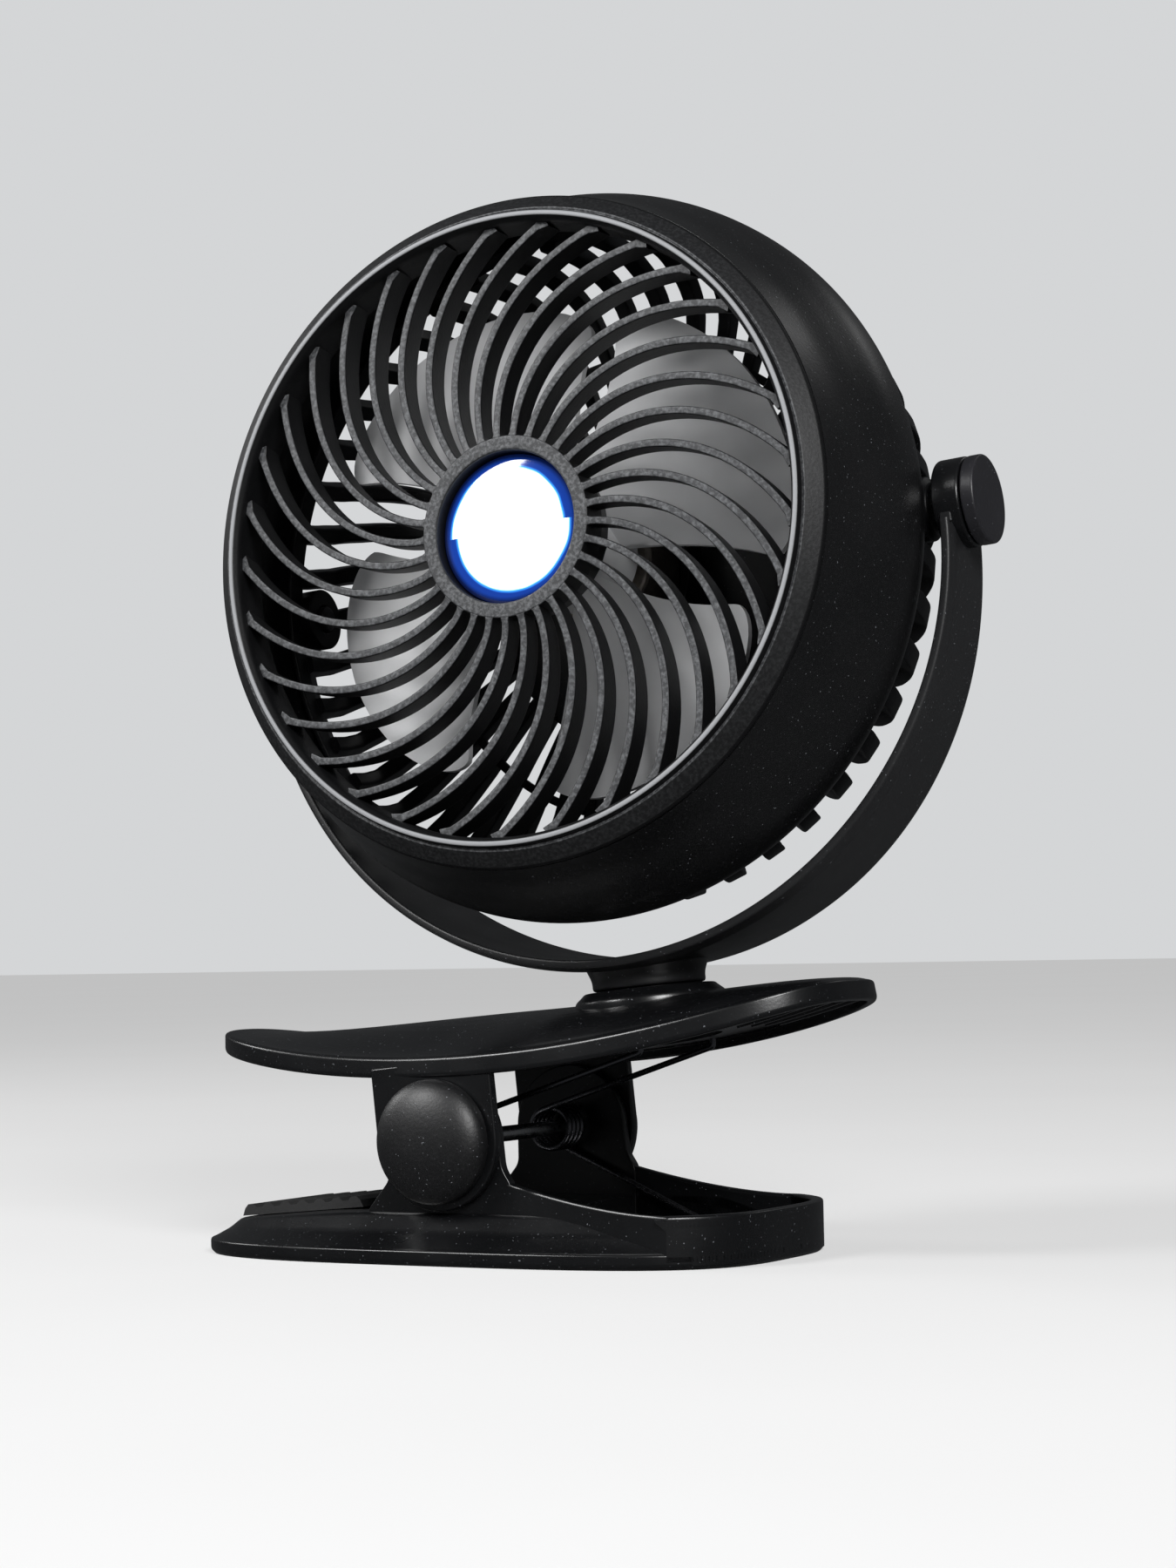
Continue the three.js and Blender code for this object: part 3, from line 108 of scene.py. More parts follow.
# the yoke
SWIVEL = 2.6
HEAD_TILT = 6
DRUM_RADIUS = 83.2
YOKE_RADIUS = DRUM_RADIUS + 3.9
YOKE_DROP = 4
POST_HEIGHT = 7.3
TILT_HEIGHT = PEDESTAL_TOP + POST_HEIGHT + YOKE_RADIUS + YOKE_DROP
YOKE_THICKNESS = 2.8
YOKE_HALF_WIDTH_LOW = 18.8
YOKE_HALF_WIDTH_TOP = 10
POST_RADIUS = 12.9
BOSS_RADIUS = 10
BOSS_INNER = DRUM_RADIUS + 1.1
BOSS_OUTER = BOSS_INNER + 6.4
KNOB_FACE = BOSS_OUTER + 3.5
KNOB_STEM_RADIUS = 3

# the head
DRUM_FRONT_RADIUS = DRUM_RADIUS - 8.2
DRUM_FRONT = 44
BEAD_RADIUS = DRUM_FRONT_RADIUS - 5
BEAD_FRONT = DRUM_FRONT + 5.8
DRUM_BACK = 8
TRUNNION_RADIUS = 7.2
TRUNNION_NECK = 5.6
VANES = 33
VANE_START = 4.84
VANE_SWEEP = 32.4
VANE_BEND_RADIUS = 22
RIM_INNER = BEAD_RADIUS - 1.8
VANE_REACH = RIM_INNER - VANE_BEND_RADIUS - 2.2
VANE_THICKNESS = 1.8
VANE_DEPTH = 5.6
VANE_FRONT = BEAD_FRONT - 2.8
HUB_OUTER = 20.4
HUB_BORE = 17
HUB_FRONT = BEAD_FRONT - 1.6
HUB_BACK = HUB_FRONT - 7.4
LENS_THICKNESS = 2.2
LENS_FRONT = HUB_FRONT - 3
REAR_RIBS = 46
REAR_RIB_WIDTH = 3
REAR_RIB_SPREAD = 1.1
REAR_RIB_DEPTH = 3.6
REAR_RIB_SWEEP = 9
REAR_SLOT_INNER = 38.5
REAR_FACE = -22
REAR_RIM_RADIUS = DRUM_RADIUS - 2.6
REAR_RIM_BACK = DRUM_BACK - 2.4
REAR_RING_RADIUS = REAR_RIM_RADIUS - 25.6
REAR_RING_DEPTH = 1.9
REAR_CORNER = [
    (0.6, 0), (0.7, 0.167), (1, 0.304), (1.9, 0.457), (4.4, 0.62), (8.2, 0.783), (14.6, 0.92), (24.6, 0.986),
]
IMPELLER_RADIUS = BEAD_RADIUS - 11.2
BLADES = 4
BLADE_SPAN = 76
BLADE_REST = 25
BLADE_TIP = 11
BLADE_THICKNESS = 1.8
BLADE_BACK = 8.5
BLADE_FRONT = 31.5
BLADE_PITCH = 0.72
HUB_RADIUS = 12.5
SHAFT_RADIUS = 1.5
RUN = 0.4
MOTOR_RADIUS = 14
MOTOR_FRONT = 5
MOTOR_BACK = -19.5
POD_RADIUS = 36
POD_BACK = -43
BUTTON_RADIUS = 5
BUTTON_X = 13
BUTTON_Y = 15
BUTTON_FLANGE = 0.5
PORT_Z = -29
DOOR_HALF = 29.4
DOOR_LOW = -21
DOOR_HIGH = 3

# the camera, in metres and degrees
CAMERA_PLACE_M = Vector((0.4149, -0.6973, 0.0728))
CAMERA_AZIMUTH = 29.38
CAMERA_ELEVATION = -2.46
CAMERA_ROLL = -1.14
CAMERA_LENS = 80
CAMERA_SENSOR = 36

# where the soft lights point, in metres
LIT_POINT_M = Vector((0.02, 0, 0.14))


# ---------- places ----------
def turn(axis, degrees):
    return Matrix.Rotation(math.radians(degrees), 4, axis)


def shift(x, y, z):
    """A move by millimetres, as a matrix in metres."""
    return Matrix.Translation(Vector((x, y, z)) * MM)


FOOT = Matrix.Identity(4)
UPPER = shift(0, 0, PIVOT_HEIGHT) @ turn("Y", -CLIP_OPEN)
YOKE = UPPER @ shift(POST_X, 0, TILT_HEIGHT) @ turn("Z", SWIVEL)
HEAD = YOKE @ turn("X", 90 - HEAD_TILT)


def add_object(name, data):
    made = bpy.data.objects.new(name, data)
    bpy.context.collection.objects.link(made)
    return made


def fill(node, **values):
    """Sets a node's inputs. An underscore stands for a blank in an input's name."""
    for name, value in values.items():
        node.inputs[name.replace("_", " ")].default_value = value


# ---------- finishes ----------
# scales of the noises, in cells a metre
GRAIN = 1500
SATIN_GRAIN = 1300
MOTTLE = 45
DUST = 2300
METAL_STREAK = 900
LENS_WAVER = 160
SPECK_COLOUR = (0.42, 0.44, 0.48)


def blank(name):
    """A new node material: its tree and its shader."""
    made = bpy.data.materials.new(name)
    made.use_nodes = True
    return made, made.node_tree, made.node_tree.nodes["Principled BSDF"]


def noise_node(tree, scale, detail=2.0, roughness=0.5):
    place = tree.nodes.new("ShaderNodeTexCoord")
    made = tree.nodes.new("ShaderNodeTexNoise")
    fill(made, Scale=scale, Detail=detail, Roughness=roughness)
    tree.links.new(place.outputs["Object"], made.inputs["Vector"])
    return made.outputs["Fac"]


def ramp_node(tree, value, stops):
    """A colour ramp on a value, from (position, colour) stops."""
    made = tree.nodes.new("ShaderNodeValToRGB")
    bar = made.color_ramp.elements
    while len(bar) < len(stops):
        bar.new(0.5)
    for element, (position, colour) in zip(bar, stops):
        element.position = position
        element.color = (*colour, 1)
    tree.links.new(value, made.inputs["Fac"])
    return made.outputs["Color"]


def mix_node(tree, factor, one, other):
    """A colour mix. Each of the three inputs is an output socket or a plain value."""
    made = tree.nodes.new("ShaderNodeMix")
    made.data_type = "RGBA"
    for slot, value in ((0, factor), (6, one), (7, other)):
        if isinstance(value, bpy.types.NodeSocket):
            tree.links.new(value, made.inputs[slot])
        elif slot:
            made.inputs[slot].default_value = (*value, 1)
        else:
            made.inputs[slot].default_value = value
    return made.outputs[2]


def math_node(tree, kind, one, other=None):
    """A maths node on sockets or numbers."""
    made = tree.nodes.new("ShaderNodeMath")
    made.operation = kind
    for slot, value in ((0, one), (1, other)):
        if isinstance(value, bpy.types.NodeSocket):
            tree.links.new(value, made.inputs[slot])
        elif value is not None:
            made.inputs[slot].default_value = value
    return made.outputs[0]


def along_node(tree, origin, direction):
    """How far a point of the part lies from an origin along a direction, in millimetres."""
    place = tree.nodes.new("ShaderNodeTexCoord")
    away = tree.nodes.new("ShaderNodeVectorMath")
    away.operation = "SUBTRACT"
    away.inputs[1].default_value = origin
    tree.links.new(place.outputs["Object"], away.inputs[0])
    dot = tree.nodes.new("ShaderNodeVectorMath")
    dot.operation = "DOT_PRODUCT"
    dot.inputs[1].default_value = direction
    tree.links.new(away.outputs["Vector"], dot.inputs[0])
    return math_node(tree, "DIVIDE", dot.outputs["Value"], MM)


def bump_node(tree, shader, height, strength, depth_m):
    made = tree.nodes.new("ShaderNodeBump")
    fill(made, Strength=strength, Distance=depth_m)
    tree.links.new(height, made.inputs["Height"])
    tree.links.new(made.outputs["Normal"], shader.inputs["Normal"])


def grey(level, blue=1.0):
    return (level, level, level * blue)


def plastic(name, colour, roughness, grain=0.25, grain_scale=GRAIN, speckle=0.0, dust=0.0, specular=0.5):
    """Moulded plastic: a fine grain, uneven gloss, pale speckle of the grain and stray dust."""
    made, tree, shader = blank(name)
    fine = noise_node(tree, grain_scale, 2, 0.6)
    broad = noise_node(tree, MOTTLE, 3, 0.5)
    dark = tuple(c * 0.86 for c in colour)
    light = tuple(c * 1.14 for c in colour)
    base = ramp_node(tree, broad, [(0.3, dark), (0.7, light)])
    if speckle:
        grains = ramp_node(tree, fine, [(0.5, grey(0)), (0.74, grey(speckle))])
        base = mix_node(tree, grains, base, tuple(min(c * 4 + 0.05, 1) for c in colour))
    if dust:
        specks = noise_node(tree, DUST, 0, 0.5)
        shown = ramp_node(tree, specks, [(0.8, grey(0)), (0.85, grey(dust))])
        base = mix_node(tree, shown, base, SPECK_COLOUR)
    tree.links.new(base, shader.inputs["Base Color"])
    gloss = ramp_node(tree, broad, [(0.3, grey(roughness - 0.04)), (0.7, grey(roughness + 0.05))])
    tree.links.new(gloss, shader.inputs["Roughness"])
    fill(shader, Specular_IOR_Level=specular)
    bump_node(tree, shader, fine, grain, 0.0002)
    return made


def metal(name, colour, roughness):
    made, tree, shader = blank(name)
    fine = noise_node(tree, METAL_STREAK, 3, 0.6)
    base = ramp_node(tree, fine, [(0.3, tuple(c * 0.8 for c in colour)), (0.7, colour)])
    tree.links.new(base, shader.inputs["Base Color"])
    gloss = ramp_node(tree, fine, [(0.3, grey(roughness * 0.8)), (0.7, grey(roughness * 1.2))])
    tree.links.new(gloss, shader.inputs["Roughness"])
    fill(shader, Metallic=1)
    bump_node(tree, shader, fine, 0.1, 0.0001)
    return made


def grille_painted_light_finish():
    """Grained plastic with painted light: faces turned to the front are painted a pale grey as if lit, the
    vanes' sides are painted near black as shade, and the front of the rim's raised ring gets a painted
    highlight.
    """
    made, tree, shader = blank("grille_plastic_painted_light")
    fine = noise_node(tree, SATIN_GRAIN, 2, 0.6)
    place = tree.nodes.new("ShaderNodeTexCoord")
    ahead = tree.nodes.new("ShaderNodeVectorMath")
    ahead.operation = "DOT_PRODUCT"
    ahead.inputs[1].default_value = HEAD.col[2].to_3d()
    tree.links.new(place.outputs["Normal"], ahead.inputs[0])
    # painted light and shade: the more a face turns to the front, the paler it is painted; the sides are
    # painted dark
    front = ramp_node(tree, ahead.outputs["Value"], [(0.72, grey(0)), (0.96, grey(1))])
    grains = ramp_node(tree, fine, [(0.42, grey(0)), (0.7, grey(1))])
    # the pale grey painted on the lit fronts, with the grain in it
    field = mix_node(tree, grains, (0.03, 0.031, 0.033), (0.1, 0.103, 0.108))
    # painted highlight: the rim's raised ring, which stands furthest forward, is painted paler still
    height = along_node(tree, HEAD.translation, HEAD.col[2].to_3d())
    above = math_node(tree, "DIVIDE", math_node(tree, "SUBTRACT", height, HUB_FRONT), 4)
    bead_highlight = ramp_node(tree, above, [(0.22, grey(0)), (0.34, grey(1))])
    pale = mix_node(tree, bead_highlight, field, (0.24, 0.245, 0.255))
    # painted shade on the sides, painted light on the fronts
    base = mix_node(tree, front, (0.0025, 0.0026, 0.003), pale)
    tree.links.new(base, shader.inputs["Base Color"])
    fill(shader, Roughness=0.48, Specular_IOR_Level=0.28)
    bump_node(tree, shader, fine, 0.2, 0.0002)
    return made


def lens_finish():
    """The lit lens: a white field, a cobalt ring and a dark rim, drawn on the part itself."""
    made, tree, shader = blank("lens_lit")

    def maths(kind, one, other=None):
        return math_node(tree, kind, one, other)

    def away(x, y):
        return maths("SQRT", maths("ADD", maths("MULTIPLY", x, x), maths("MULTIPLY", y, y)))
    x, y = (along_node(tree, HEAD.translation, HEAD.col[i].to_3d()) for i in (0, 1))
    # the white field's upper half sits a little to the left and its lower half to the right
    inner = away(maths("ADD", x, maths("MULTIPLY", maths("SIGN", y), 0.7)), y)
    waver = maths("MULTIPLY", maths("SUBTRACT", noise_node(tree, LENS_WAVER, 1), 0.5), 0.5)
    # the ramps take radii as shares of this one, in millimetres
    span = 20
    field = maths("DIVIDE", maths("ADD", inner, waver), span)
    white, pale, azure, cobalt, navy = (
        (1, 1, 1), (0.45, 0.72, 1), (0.02, 0.16, 0.55), (0.003, 0.018, 0.13), (0.001, 0.003, 0.02),
    )
    glow = ramp_node(tree, field, [
        (0.0, white), (13.1 / span, white), (13.6 / span, pale), (13.96 / span, azure),
        (14.44 / span, cobalt), (18 / span, cobalt),
    ])
    rim = maths("DIVIDE", away(x, y), span)
    edge = ramp_node(tree, rim, [(15.1 / span, grey(0)), (16.2 / span, grey(1))])
    shown = mix_node(tree, edge, glow, navy)
    tree.links.new(shown, shader.inputs["Base Color"])
    tree.links.new(shown, shader.inputs["Emission Color"])
    fill(shader, Emission_Strength=1.7, Roughness=0.08, Coat_Weight=0.4, Coat_Roughness=0.05)
    return made


BLACK = plastic("black_plastic", (0.0035, 0.0037, 0.0042), 0.28, 0.08, GRAIN, 0.0, 0.25)
DRUM_BLACK = plastic("drum_plastic", (0.0035, 0.0036, 0.004), 0.36, 0.15, SATIN_GRAIN, 0.04, 0.2)
# the grille's finish paints light on the fronts, shade on the sides and a highlight on the rim's ring
GRILLE_BLACK = grille_painted_light_finish()
CAP_BLACK = plastic("cap_plastic", (0.004, 0.0041, 0.0046), 0.42, 0.25, SATIN_GRAIN, 0.06, 0.3)
YOKE_BLACK = plastic("yoke_plastic", (0.011, 0.0112, 0.012), 0.4, 0.1, GRAIN, 0.0, 0.35)
MATT_BLACK = plastic("matt_black_plastic", (0.004, 0.0042, 0.005), 0.45, 0.12, SATIN_GRAIN, 0.0, 0.1, 0.3)
GREY_PLASTIC = plastic("grey_plastic", (0.62, 0.625, 0.635), 0.4, 0.1, 1100, 0.0, 0.0)
KNOB_BLACK = plastic("knob_plastic", (0.013, 0.0128, 0.0155), 0.4, 0.12, GRAIN, 0.0, 0.35)
STEEL = metal("steel", (0.58, 0.59, 0.6), 0.3)
MOTOR_STEEL = metal("motor_steel", (0.42, 0.38, 0.34), 0.36)
SPRING_STEEL = metal("spring_steel", (0.2, 0.2, 0.215), 0.26)
BRASS = metal("brass", (0.69, 0.5, 0.22), 0.3)
MIRROR = metal("mirror", (0.9, 0.92, 0.94), 0.08)
RUBBER = plastic("rubber", (0.012, 0.012, 0.0125), 0.75, 0.3, 900)
BOARD = plastic("board", (0.02, 0.12, 0.055), 0.5, 0.1, 600)
CELL_WRAP = plastic("cell_wrap", (0.04, 0.14, 0.36), 0.3, 0.05, 400)
LED = plastic("led", (0.9, 0.86, 0.5), 0.3, 0.05, 900)
LENS = lens_finish()


# ---------- shapes: each is (points, faces), in millimetres ----------
def rounded(points, radius, steps=4, closed=True):
    """A line with its corners rounded off. Points may be flat or in space."""
    made = []
    count = len(points)
    for i, corner in enumerate(points):
        if not closed and i in (0, count - 1):
            made.append(corner)
            continue
        back = points[i - 1] - corner
        on = points[(i + 1) % count] - corner
        reach = min(radius, 0.45 * back.length, 0.45 * on.length)
        start = corner + back.normalized() * reach
        end = corner + on.normalized() * reach
        for s in range(steps + 1):
            t = s / steps
            made.append(start * (1 - t) ** 2 + corner * (2 * t * (1 - t)) + end * t ** 2)
    return made


def spline(points, count):
    """Points along a uniform Catmull-Rom curve."""
    last = len(points) - 1
    made = []
    for i in range(count + 1):
        along = last * i / count
        k = min(int(along), last - 1)
        t = along - k
        a, b, c, d = (Vector(points[min(max(k + n, 0), last)]) for n in (-1, 0, 1, 2))
        made.append(b + (c - a) * 0.5 * t + (a - b * 2.5 + c * 2 - d * 0.5) * t ** 2
                    + (b * 1.5 - a * 0.5 - c * 1.5 + d * 0.5) * t ** 3)
    return made


def arc(cx, cy, radius, start, end, steps):
    return [
        (cx + radius * math.cos(a), cy + radius * math.sin(a))
        for a in (math.radians(start + (end - start) * i / steps) for i in range(steps + 1))
    ]


def superellipse(half_x, half_y, squareness, count):
    power = 2 / squareness
    made = []
    for i in range(count):
        c, s = math.cos(math.tau * i / count), math.sin(math.tau * i / count)
        made.append(Vector((
            half_x * math.copysign(abs(c) ** power, c), half_y * math.copysign(abs(s) ** power, s),
        )))
    return made


def box_profile(inner, outer, low, high):
    """The section of a plain ring or, with nothing inside, of a plain disc."""
    return [(inner, low), (outer, low), (outer, high), (inner, high)]


def lathe(profile, segments, radius=0.0):
    """A body of revolution about Z from (radius, z) pairs that end on the axis or close on themselves."""
    points = [Vector(p) for p in profile]
    on_axis = points[0].x == 0
    if radius:
        points = rounded(points, radius, closed=not on_axis)
    count = len(points)
    verts = [
        Vector((p.x * math.cos(a), p.x * math.sin(a), p.y))
        for a in (math.tau * k / segments for k in range(segments)) for p in points
    ]
    faces = []
    for k in range(segments):
        here, there = k * count, (k + 1) % segments * count
        for j in range(count - 1 if on_axis else count):
            n = (j + 1) % count
            faces.append((here + j, here + n, there + n, there + j))
    return verts, faces


def loft(rings, wrap=False):
    """A body through rings of equal count, its two ends closed with flat faces."""
    count = len(rings[0])
    verts = [Vector(p) for ring in rings for p in ring]
    faces = []
    for i in range(len(rings) if wrap else len(rings) - 1):
        here, there = i * count, (i + 1) % len(rings) * count
        for j in range(count):
            n = (j + 1) % count
            faces.append((here + j, here + n, there + n, there + j))
    if not wrap:
        faces.append(tuple(range(count)))
        faces.append(tuple(range(len(verts) - count, len(verts))))
    return verts, faces


def offset(outline, inset):
    """An anticlockwise closed outline moved inwards."""
    made = []
    for i, p in enumerate(outline):
        along = (outline[(i + 1) % len(outline)] - outline[i - 1]).normalized()
        made.append(p + Vector((-along.y, along.x)) * inset)
    return made


def slab(outline, low, high, edge=0.5, corner=0.8):
    """A flat outline in XY as a plate along Z with rounded edges."""
    points = [Vector(p) for p in outline]
    area = sum(points[i - 1].x * p.y - p.x * points[i - 1].y for i, p in enumerate(points))
    if area < 0:
        points.reverse()
    if corner:
        points = rounded(points, corner)
    quarter = [math.radians(a) for a in (0, 30, 60, 90)]
    levels = [(edge * (1 - math.sin(a)), low + edge * (1 - math.cos(a))) for a in quarter]
    levels += [(inset, low + high - z) for inset, z in reversed(levels)]
    return loft([[Vector((p.x, p.y, z)) for p in offset(points, inset)] for inset, z in levels])


def block(low, high, edge=0.2):
    (x0, y0, z0), (x1, y1, z1) = low, high
    return slab([(x0, y0), (x1, y0), (x1, y1), (x0, y1)], z0, z1, edge, edge)


def moved(shape, change):
    verts, faces = shape
    return [change(v) for v in verts], faces


def along_x(shape):
    """Turns +Z to +X."""
    return moved(shape, lambda v: Vector((v.z, v.y, -v.x)))


def along_y(shape):
    """Turns +Z to +Y."""
    return moved(shape, lambda v: Vector((v.x, v.z, -v.y)))


def side(shape):
    """Takes a plate drawn in XY to the XZ plane, with its thickness along Y."""
    return moved(shape, lambda v: Vector((v.x, v.z, v.y)))


def flip_x(shape):
    return moved(shape, lambda v: Vector((-v.x, v.y, v.z)))


def flip_y(shape):
    return moved(shape, lambda v: Vector((v.x, -v.y, v.z)))


def shifted(shape, x, y, z):
    by = Vector((x, y, z))
    return moved(shape, lambda v: v + by)


def spun(shape, degrees):
    c, s = math.cos(math.radians(degrees)), math.sin(math.radians(degrees))
    return moved(shape, lambda v: Vector((v.x * c - v.y * s, v.x * s + v.y * c, v.z)))


def tube(path, radius, sides):
    """A round wire along points in space."""
    rings = []
    normal = Vector((0, 1, 0))
    last = len(path) - 1
    for i, p in enumerate(path):
        along = (path[min(i + 1, last)] - path[max(i - 1, 0)]).normalized()
        normal = (normal - along * normal.dot(along)).normalized()
        across = along.cross(normal)
        turns = [math.tau * k / sides for k in range(sides)]
        rings.append([p + (normal * math.cos(a) + across * math.sin(a)) * radius for a in turns])
    return loft(rings)


# ---------- pieces ----------
def mesh_of(name, shapes):
    """One mesh from closed shapes, with its faces turned out."""
    built = bmesh.new()
    for verts, faces in shapes:
        made = [built.verts.new(v * MM) for v in verts]
        for face in faces:
            built.faces.new([made[i] for i in face])
    bmesh.ops.remove_doubles(built, verts=built.verts, dist=1e-8)
    bmesh.ops.dissolve_degenerate(built, edges=built.edges, dist=1e-8)
    bmesh.ops.recalc_face_normals(built, faces=built.faces)
    mesh = bpy.data.meshes.new(name)
    built.to_mesh(mesh)
    built.free()
    return mesh


def finish_mesh(mesh, finish, sharp):
    mesh.materials.clear()
    mesh.materials.append(finish)
    mesh.shade_smooth()
    mesh.set_sharp_from_angle(angle=math.radians(sharp))


def even_normals(made):
    weighted = made.modifiers.new("even_normals", "WEIGHTED_NORMAL")
    weighted.keep_sharp = True
    weighted.weight = 60


def put(name, shapes, place, finish, body, nodes, sharp=35, carve=()):
    """A piece of closed shapes in a frame of the object. carve holds shapes that are cut out of it."""
    made = add_object(name, mesh_of(name, shapes))
    for cutter in carve:
        tool = add_object(name + "_tool", mesh_of(name + "_tool", [cutter]))
        cut = made.modifiers.new("cut", "BOOLEAN")
        cut.operation = "DIFFERENCE"
        cut.solver = "EXACT"
        cut.use_self = True
        cut.object = tool
        bpy.context.view_layer.update()
        cut_out = made.evaluated_get(bpy.context.evaluated_depsgraph_get())
        made.data = bpy.data.meshes.new_from_object(cut_out)
        made.modifiers.clear()
        bpy.data.objects.remove(tool, do_unlink=True)
    made.data.name = name
    made.data.transform(place)
    finish_mesh(made.data, finish, sharp)
    even_normals(made)
    if body:
        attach(made, body)
    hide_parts(*nodes)
    return made


# ---------- the lower plate ----------
def deck_height(x):
    start = -20
    reach = FOOT_HALF_LENGTH - DECK_INSET_END + start
    t = min(max((start - x) / reach, 0), 1)
    return DECK_HEIGHT - DECK_TIP_DROP * t ** 1.3


def tray_top(x):
    t = min(max((NOTCH_X - x) / (NOTCH_X - EAR_RADIUS), 0), 1)
    return NOSE_HEIGHT + TRAY_RISE * t ** 1.7


OUTLINE_POINTS = 256


def foot_outline(end, sides):
    """The foot's edge, moved in at its ends and at its sides."""
    return superellipse(FOOT_HALF_LENGTH - end, FOOT_HALF_WIDTH - sides, FOOT_SQUARENESS, OUTLINE_POINTS)


def tray_path(inset):
    """The tray's U-shaped wall, from the near ear round the nose to the far one."""
    outlines = zip(foot_outline(0, 0), foot_outline(inset, inset))
    kept = [p for whole, p in outlines if whole.x > NOTCH_X]
    nose = sorted(kept, key=lambda p: math.atan2(p.y, p.x))
    ear_y = EAR_OUTER - EAR_THICKNESS - GAP - inset
    start_x = EAR_RADIUS + 1.6
    return [Vector((start_x, -ear_y)), *nose, Vector((start_x, ear_y))]


def tray_wall():
    shares = [i / 14 for i in range(15)]

    def stepped(line):
        """The wall's line with its two straight stretches in steps."""
        near = [line[0].lerp(line[1], t) for t in shares]
        far = [line[-2].lerp(line[-1], t) for t in shares]
        return near + line[2:-2] + far
    rings = []
    for o, n in zip(stepped(tray_path(0)), stepped(tray_path(TRAY_WALL))):
        top = tray_top(o.x)
        section = [Vector((*o, 1)), Vector((*o, top)), Vector((*n, top)), Vector((*n, 1))]
        rings.append(rounded(section, 0.75, 3))
    return loft(rings)


def foot_base():
    columns = []
    deck = foot_outline(DECK_INSET_END, DECK_INSET_SIDE)
    for f, e, d in zip(foot_outline(0, 0), foot_outline(0.8, 0.8), deck):
        shoulder = f.lerp(d, 0.62)
        rise = FLANGE_HEIGHT + (deck_height(d.x) - FLANGE_HEIGHT) * 0.45
        columns.append(rounded([
            Vector((*e, 0)), Vector((*f, 0.9)), Vector((*f, FLANGE_HEIGHT - 0.3)),
            Vector((*e, FLANGE_HEIGHT)), Vector((*shoulder, rise)),
            Vector((*d, deck_height(d.x))), Vector((*(d * 0.7), deck_height(d.x * 0.7))),
        ], 1.1, 3, closed=False))
    return loft([list(ring) for ring in zip(*columns)])


def nose_block():
    """The end of the foot, where the tray's wall stands on the flange behind a slanted notch."""
    power = 2 / FOOT_SQUARENESS
    levels = [
        (0.9, NOTCH_SLANT, 0), (FLANGE_HEIGHT - 0.4, NOTCH_SLANT, 0), (NOSE_HEIGHT - 2.4, 0, 0),
        (NOSE_HEIGHT - 1.2, -1.2, 0), (NOSE_HEIGHT - 0.7, -1.6, 0.4),
    ]
    rings = []
    for z, slant, inset in levels:
        half_x, half_y = FOOT_HALF_LENGTH - inset, FOOT_HALF_WIDTH - inset
        widest = math.acos(((NOTCH_X + slant) / half_x) ** (1 / power))
        ring = []
        for i in range(81):
            t = widest * (i / 40 - 1)
            y = half_y * math.copysign(abs(math.sin(t)) ** power, t)
            ring.append(Vector((half_x * math.cos(t) ** power, y, z)))
        rings.append(ring)
    return loft(rings)


def lower_ear():
    outer = EAR_OUTER - EAR_THICKNESS - GAP
    flare_top = DECK_HEIGHT + EAR_FLARE * 1.2
    outline = [
        (-EAR_RADIUS - EAR_FLARE, TRAY_FLOOR), (EAR_RADIUS + 3, TRAY_FLOOR),
        (EAR_RADIUS + 3, NOSE_HEIGHT + TRAY_RISE - 1), (EAR_RADIUS + 0.6, flare_top + 3),
        *arc(0, PIVOT_HEIGHT, EAR_RADIUS, 0, 180, 48),
        (-EAR_RADIUS, flare_top), (-EAR_RADIUS - EAR_FLARE, DECK_HEIGHT),
    ]
    return side(slab(outline, outer - EAR_THICKNESS, outer, 0.35, 1.5))


def tray_ribs():
    return [
        block((EAR_RADIUS, y - 0.8, TRAY_FLOOR - 1), (FOOT_HALF_LENGTH - 12, y + 0.8, TRAY_FLOOR + 1.2), 0.3)
        for y in (-12, 0, 12)
    ]


def make_lower_jaw():
    pocket = slab(tray_path(TRAY_WALL), TRAY_FLOOR, PIVOT_HEIGHT, 0.01, 0)
    node = ["lower_jaw"]
    put("foot_plate", [foot_base()], FOOT, BLACK, "foot", node, 50, [pocket])
    put("foot_nose", [nose_block()], FOOT, BLACK, "foot", node, 40, [pocket])
    ear = lower_ear()
    upright = [tray_wall(), ear, flip_y(ear), *tray_ribs()]
    put("foot_tray_and_ears", upright, FOOT, BLACK, "foot", node)


# ---------- rod, caps and springs ----------
def make_pivot():
    foot = EAR_OUTER + GAP
    rise = DOME_HEIGHT - DOME_RIM
    bulge = [
        (DOME_RADIUS * max(math.cos(a), 0) ** 0.9, foot + DOME_RIM + rise * math.sin(a))
        for a in (math.radians(90 * i / 28) for i in range(28))
    ]
    profile = [
        (0, foot), (DOME_RADIUS - 0.5, foot), (DOME_RADIUS, foot + 0.5), *bulge, (0, foot + DOME_HEIGHT),
    ]
    cap = shifted(along_y(lathe(profile, 128)), 0, 0, PIVOT_HEIGHT)
    put("cap_far", [cap], FOOT, CAP_BLACK, "foot", ["pivot_cap_far"])
    put("cap_near", [flip_y(cap)], FOOT, CAP_BLACK, "foot", ["pivot_cap_near"])
    end = foot + ROD_IN_CAP
    rod = shifted(along_y(lathe(box_profile(0, ROD_RADIUS, -end, end), 48, 0.3)), 0, 0, PIVOT_HEIGHT)
    put("hinge_rod", [rod], FOOT, STEEL, "foot", ["pivot_rod"])


def plate_rim(x):
    return PLATE_RIM_HEIGHT + (x - PLATE_LOW_X) ** 2 / (2 * PLATE_BEND_RADIUS)


def plate_underside(x):
    return plate_rim(x) + RIM_DEPTH - PLATE_THICKNESS


def leg_angle(point, way):
    """Where on the coil a straight leg to a point leaves it."""
    return math.atan2(point.z, point.x) - way * math.acos(COIL_RADIUS / math.hypot(point.x, point.z))


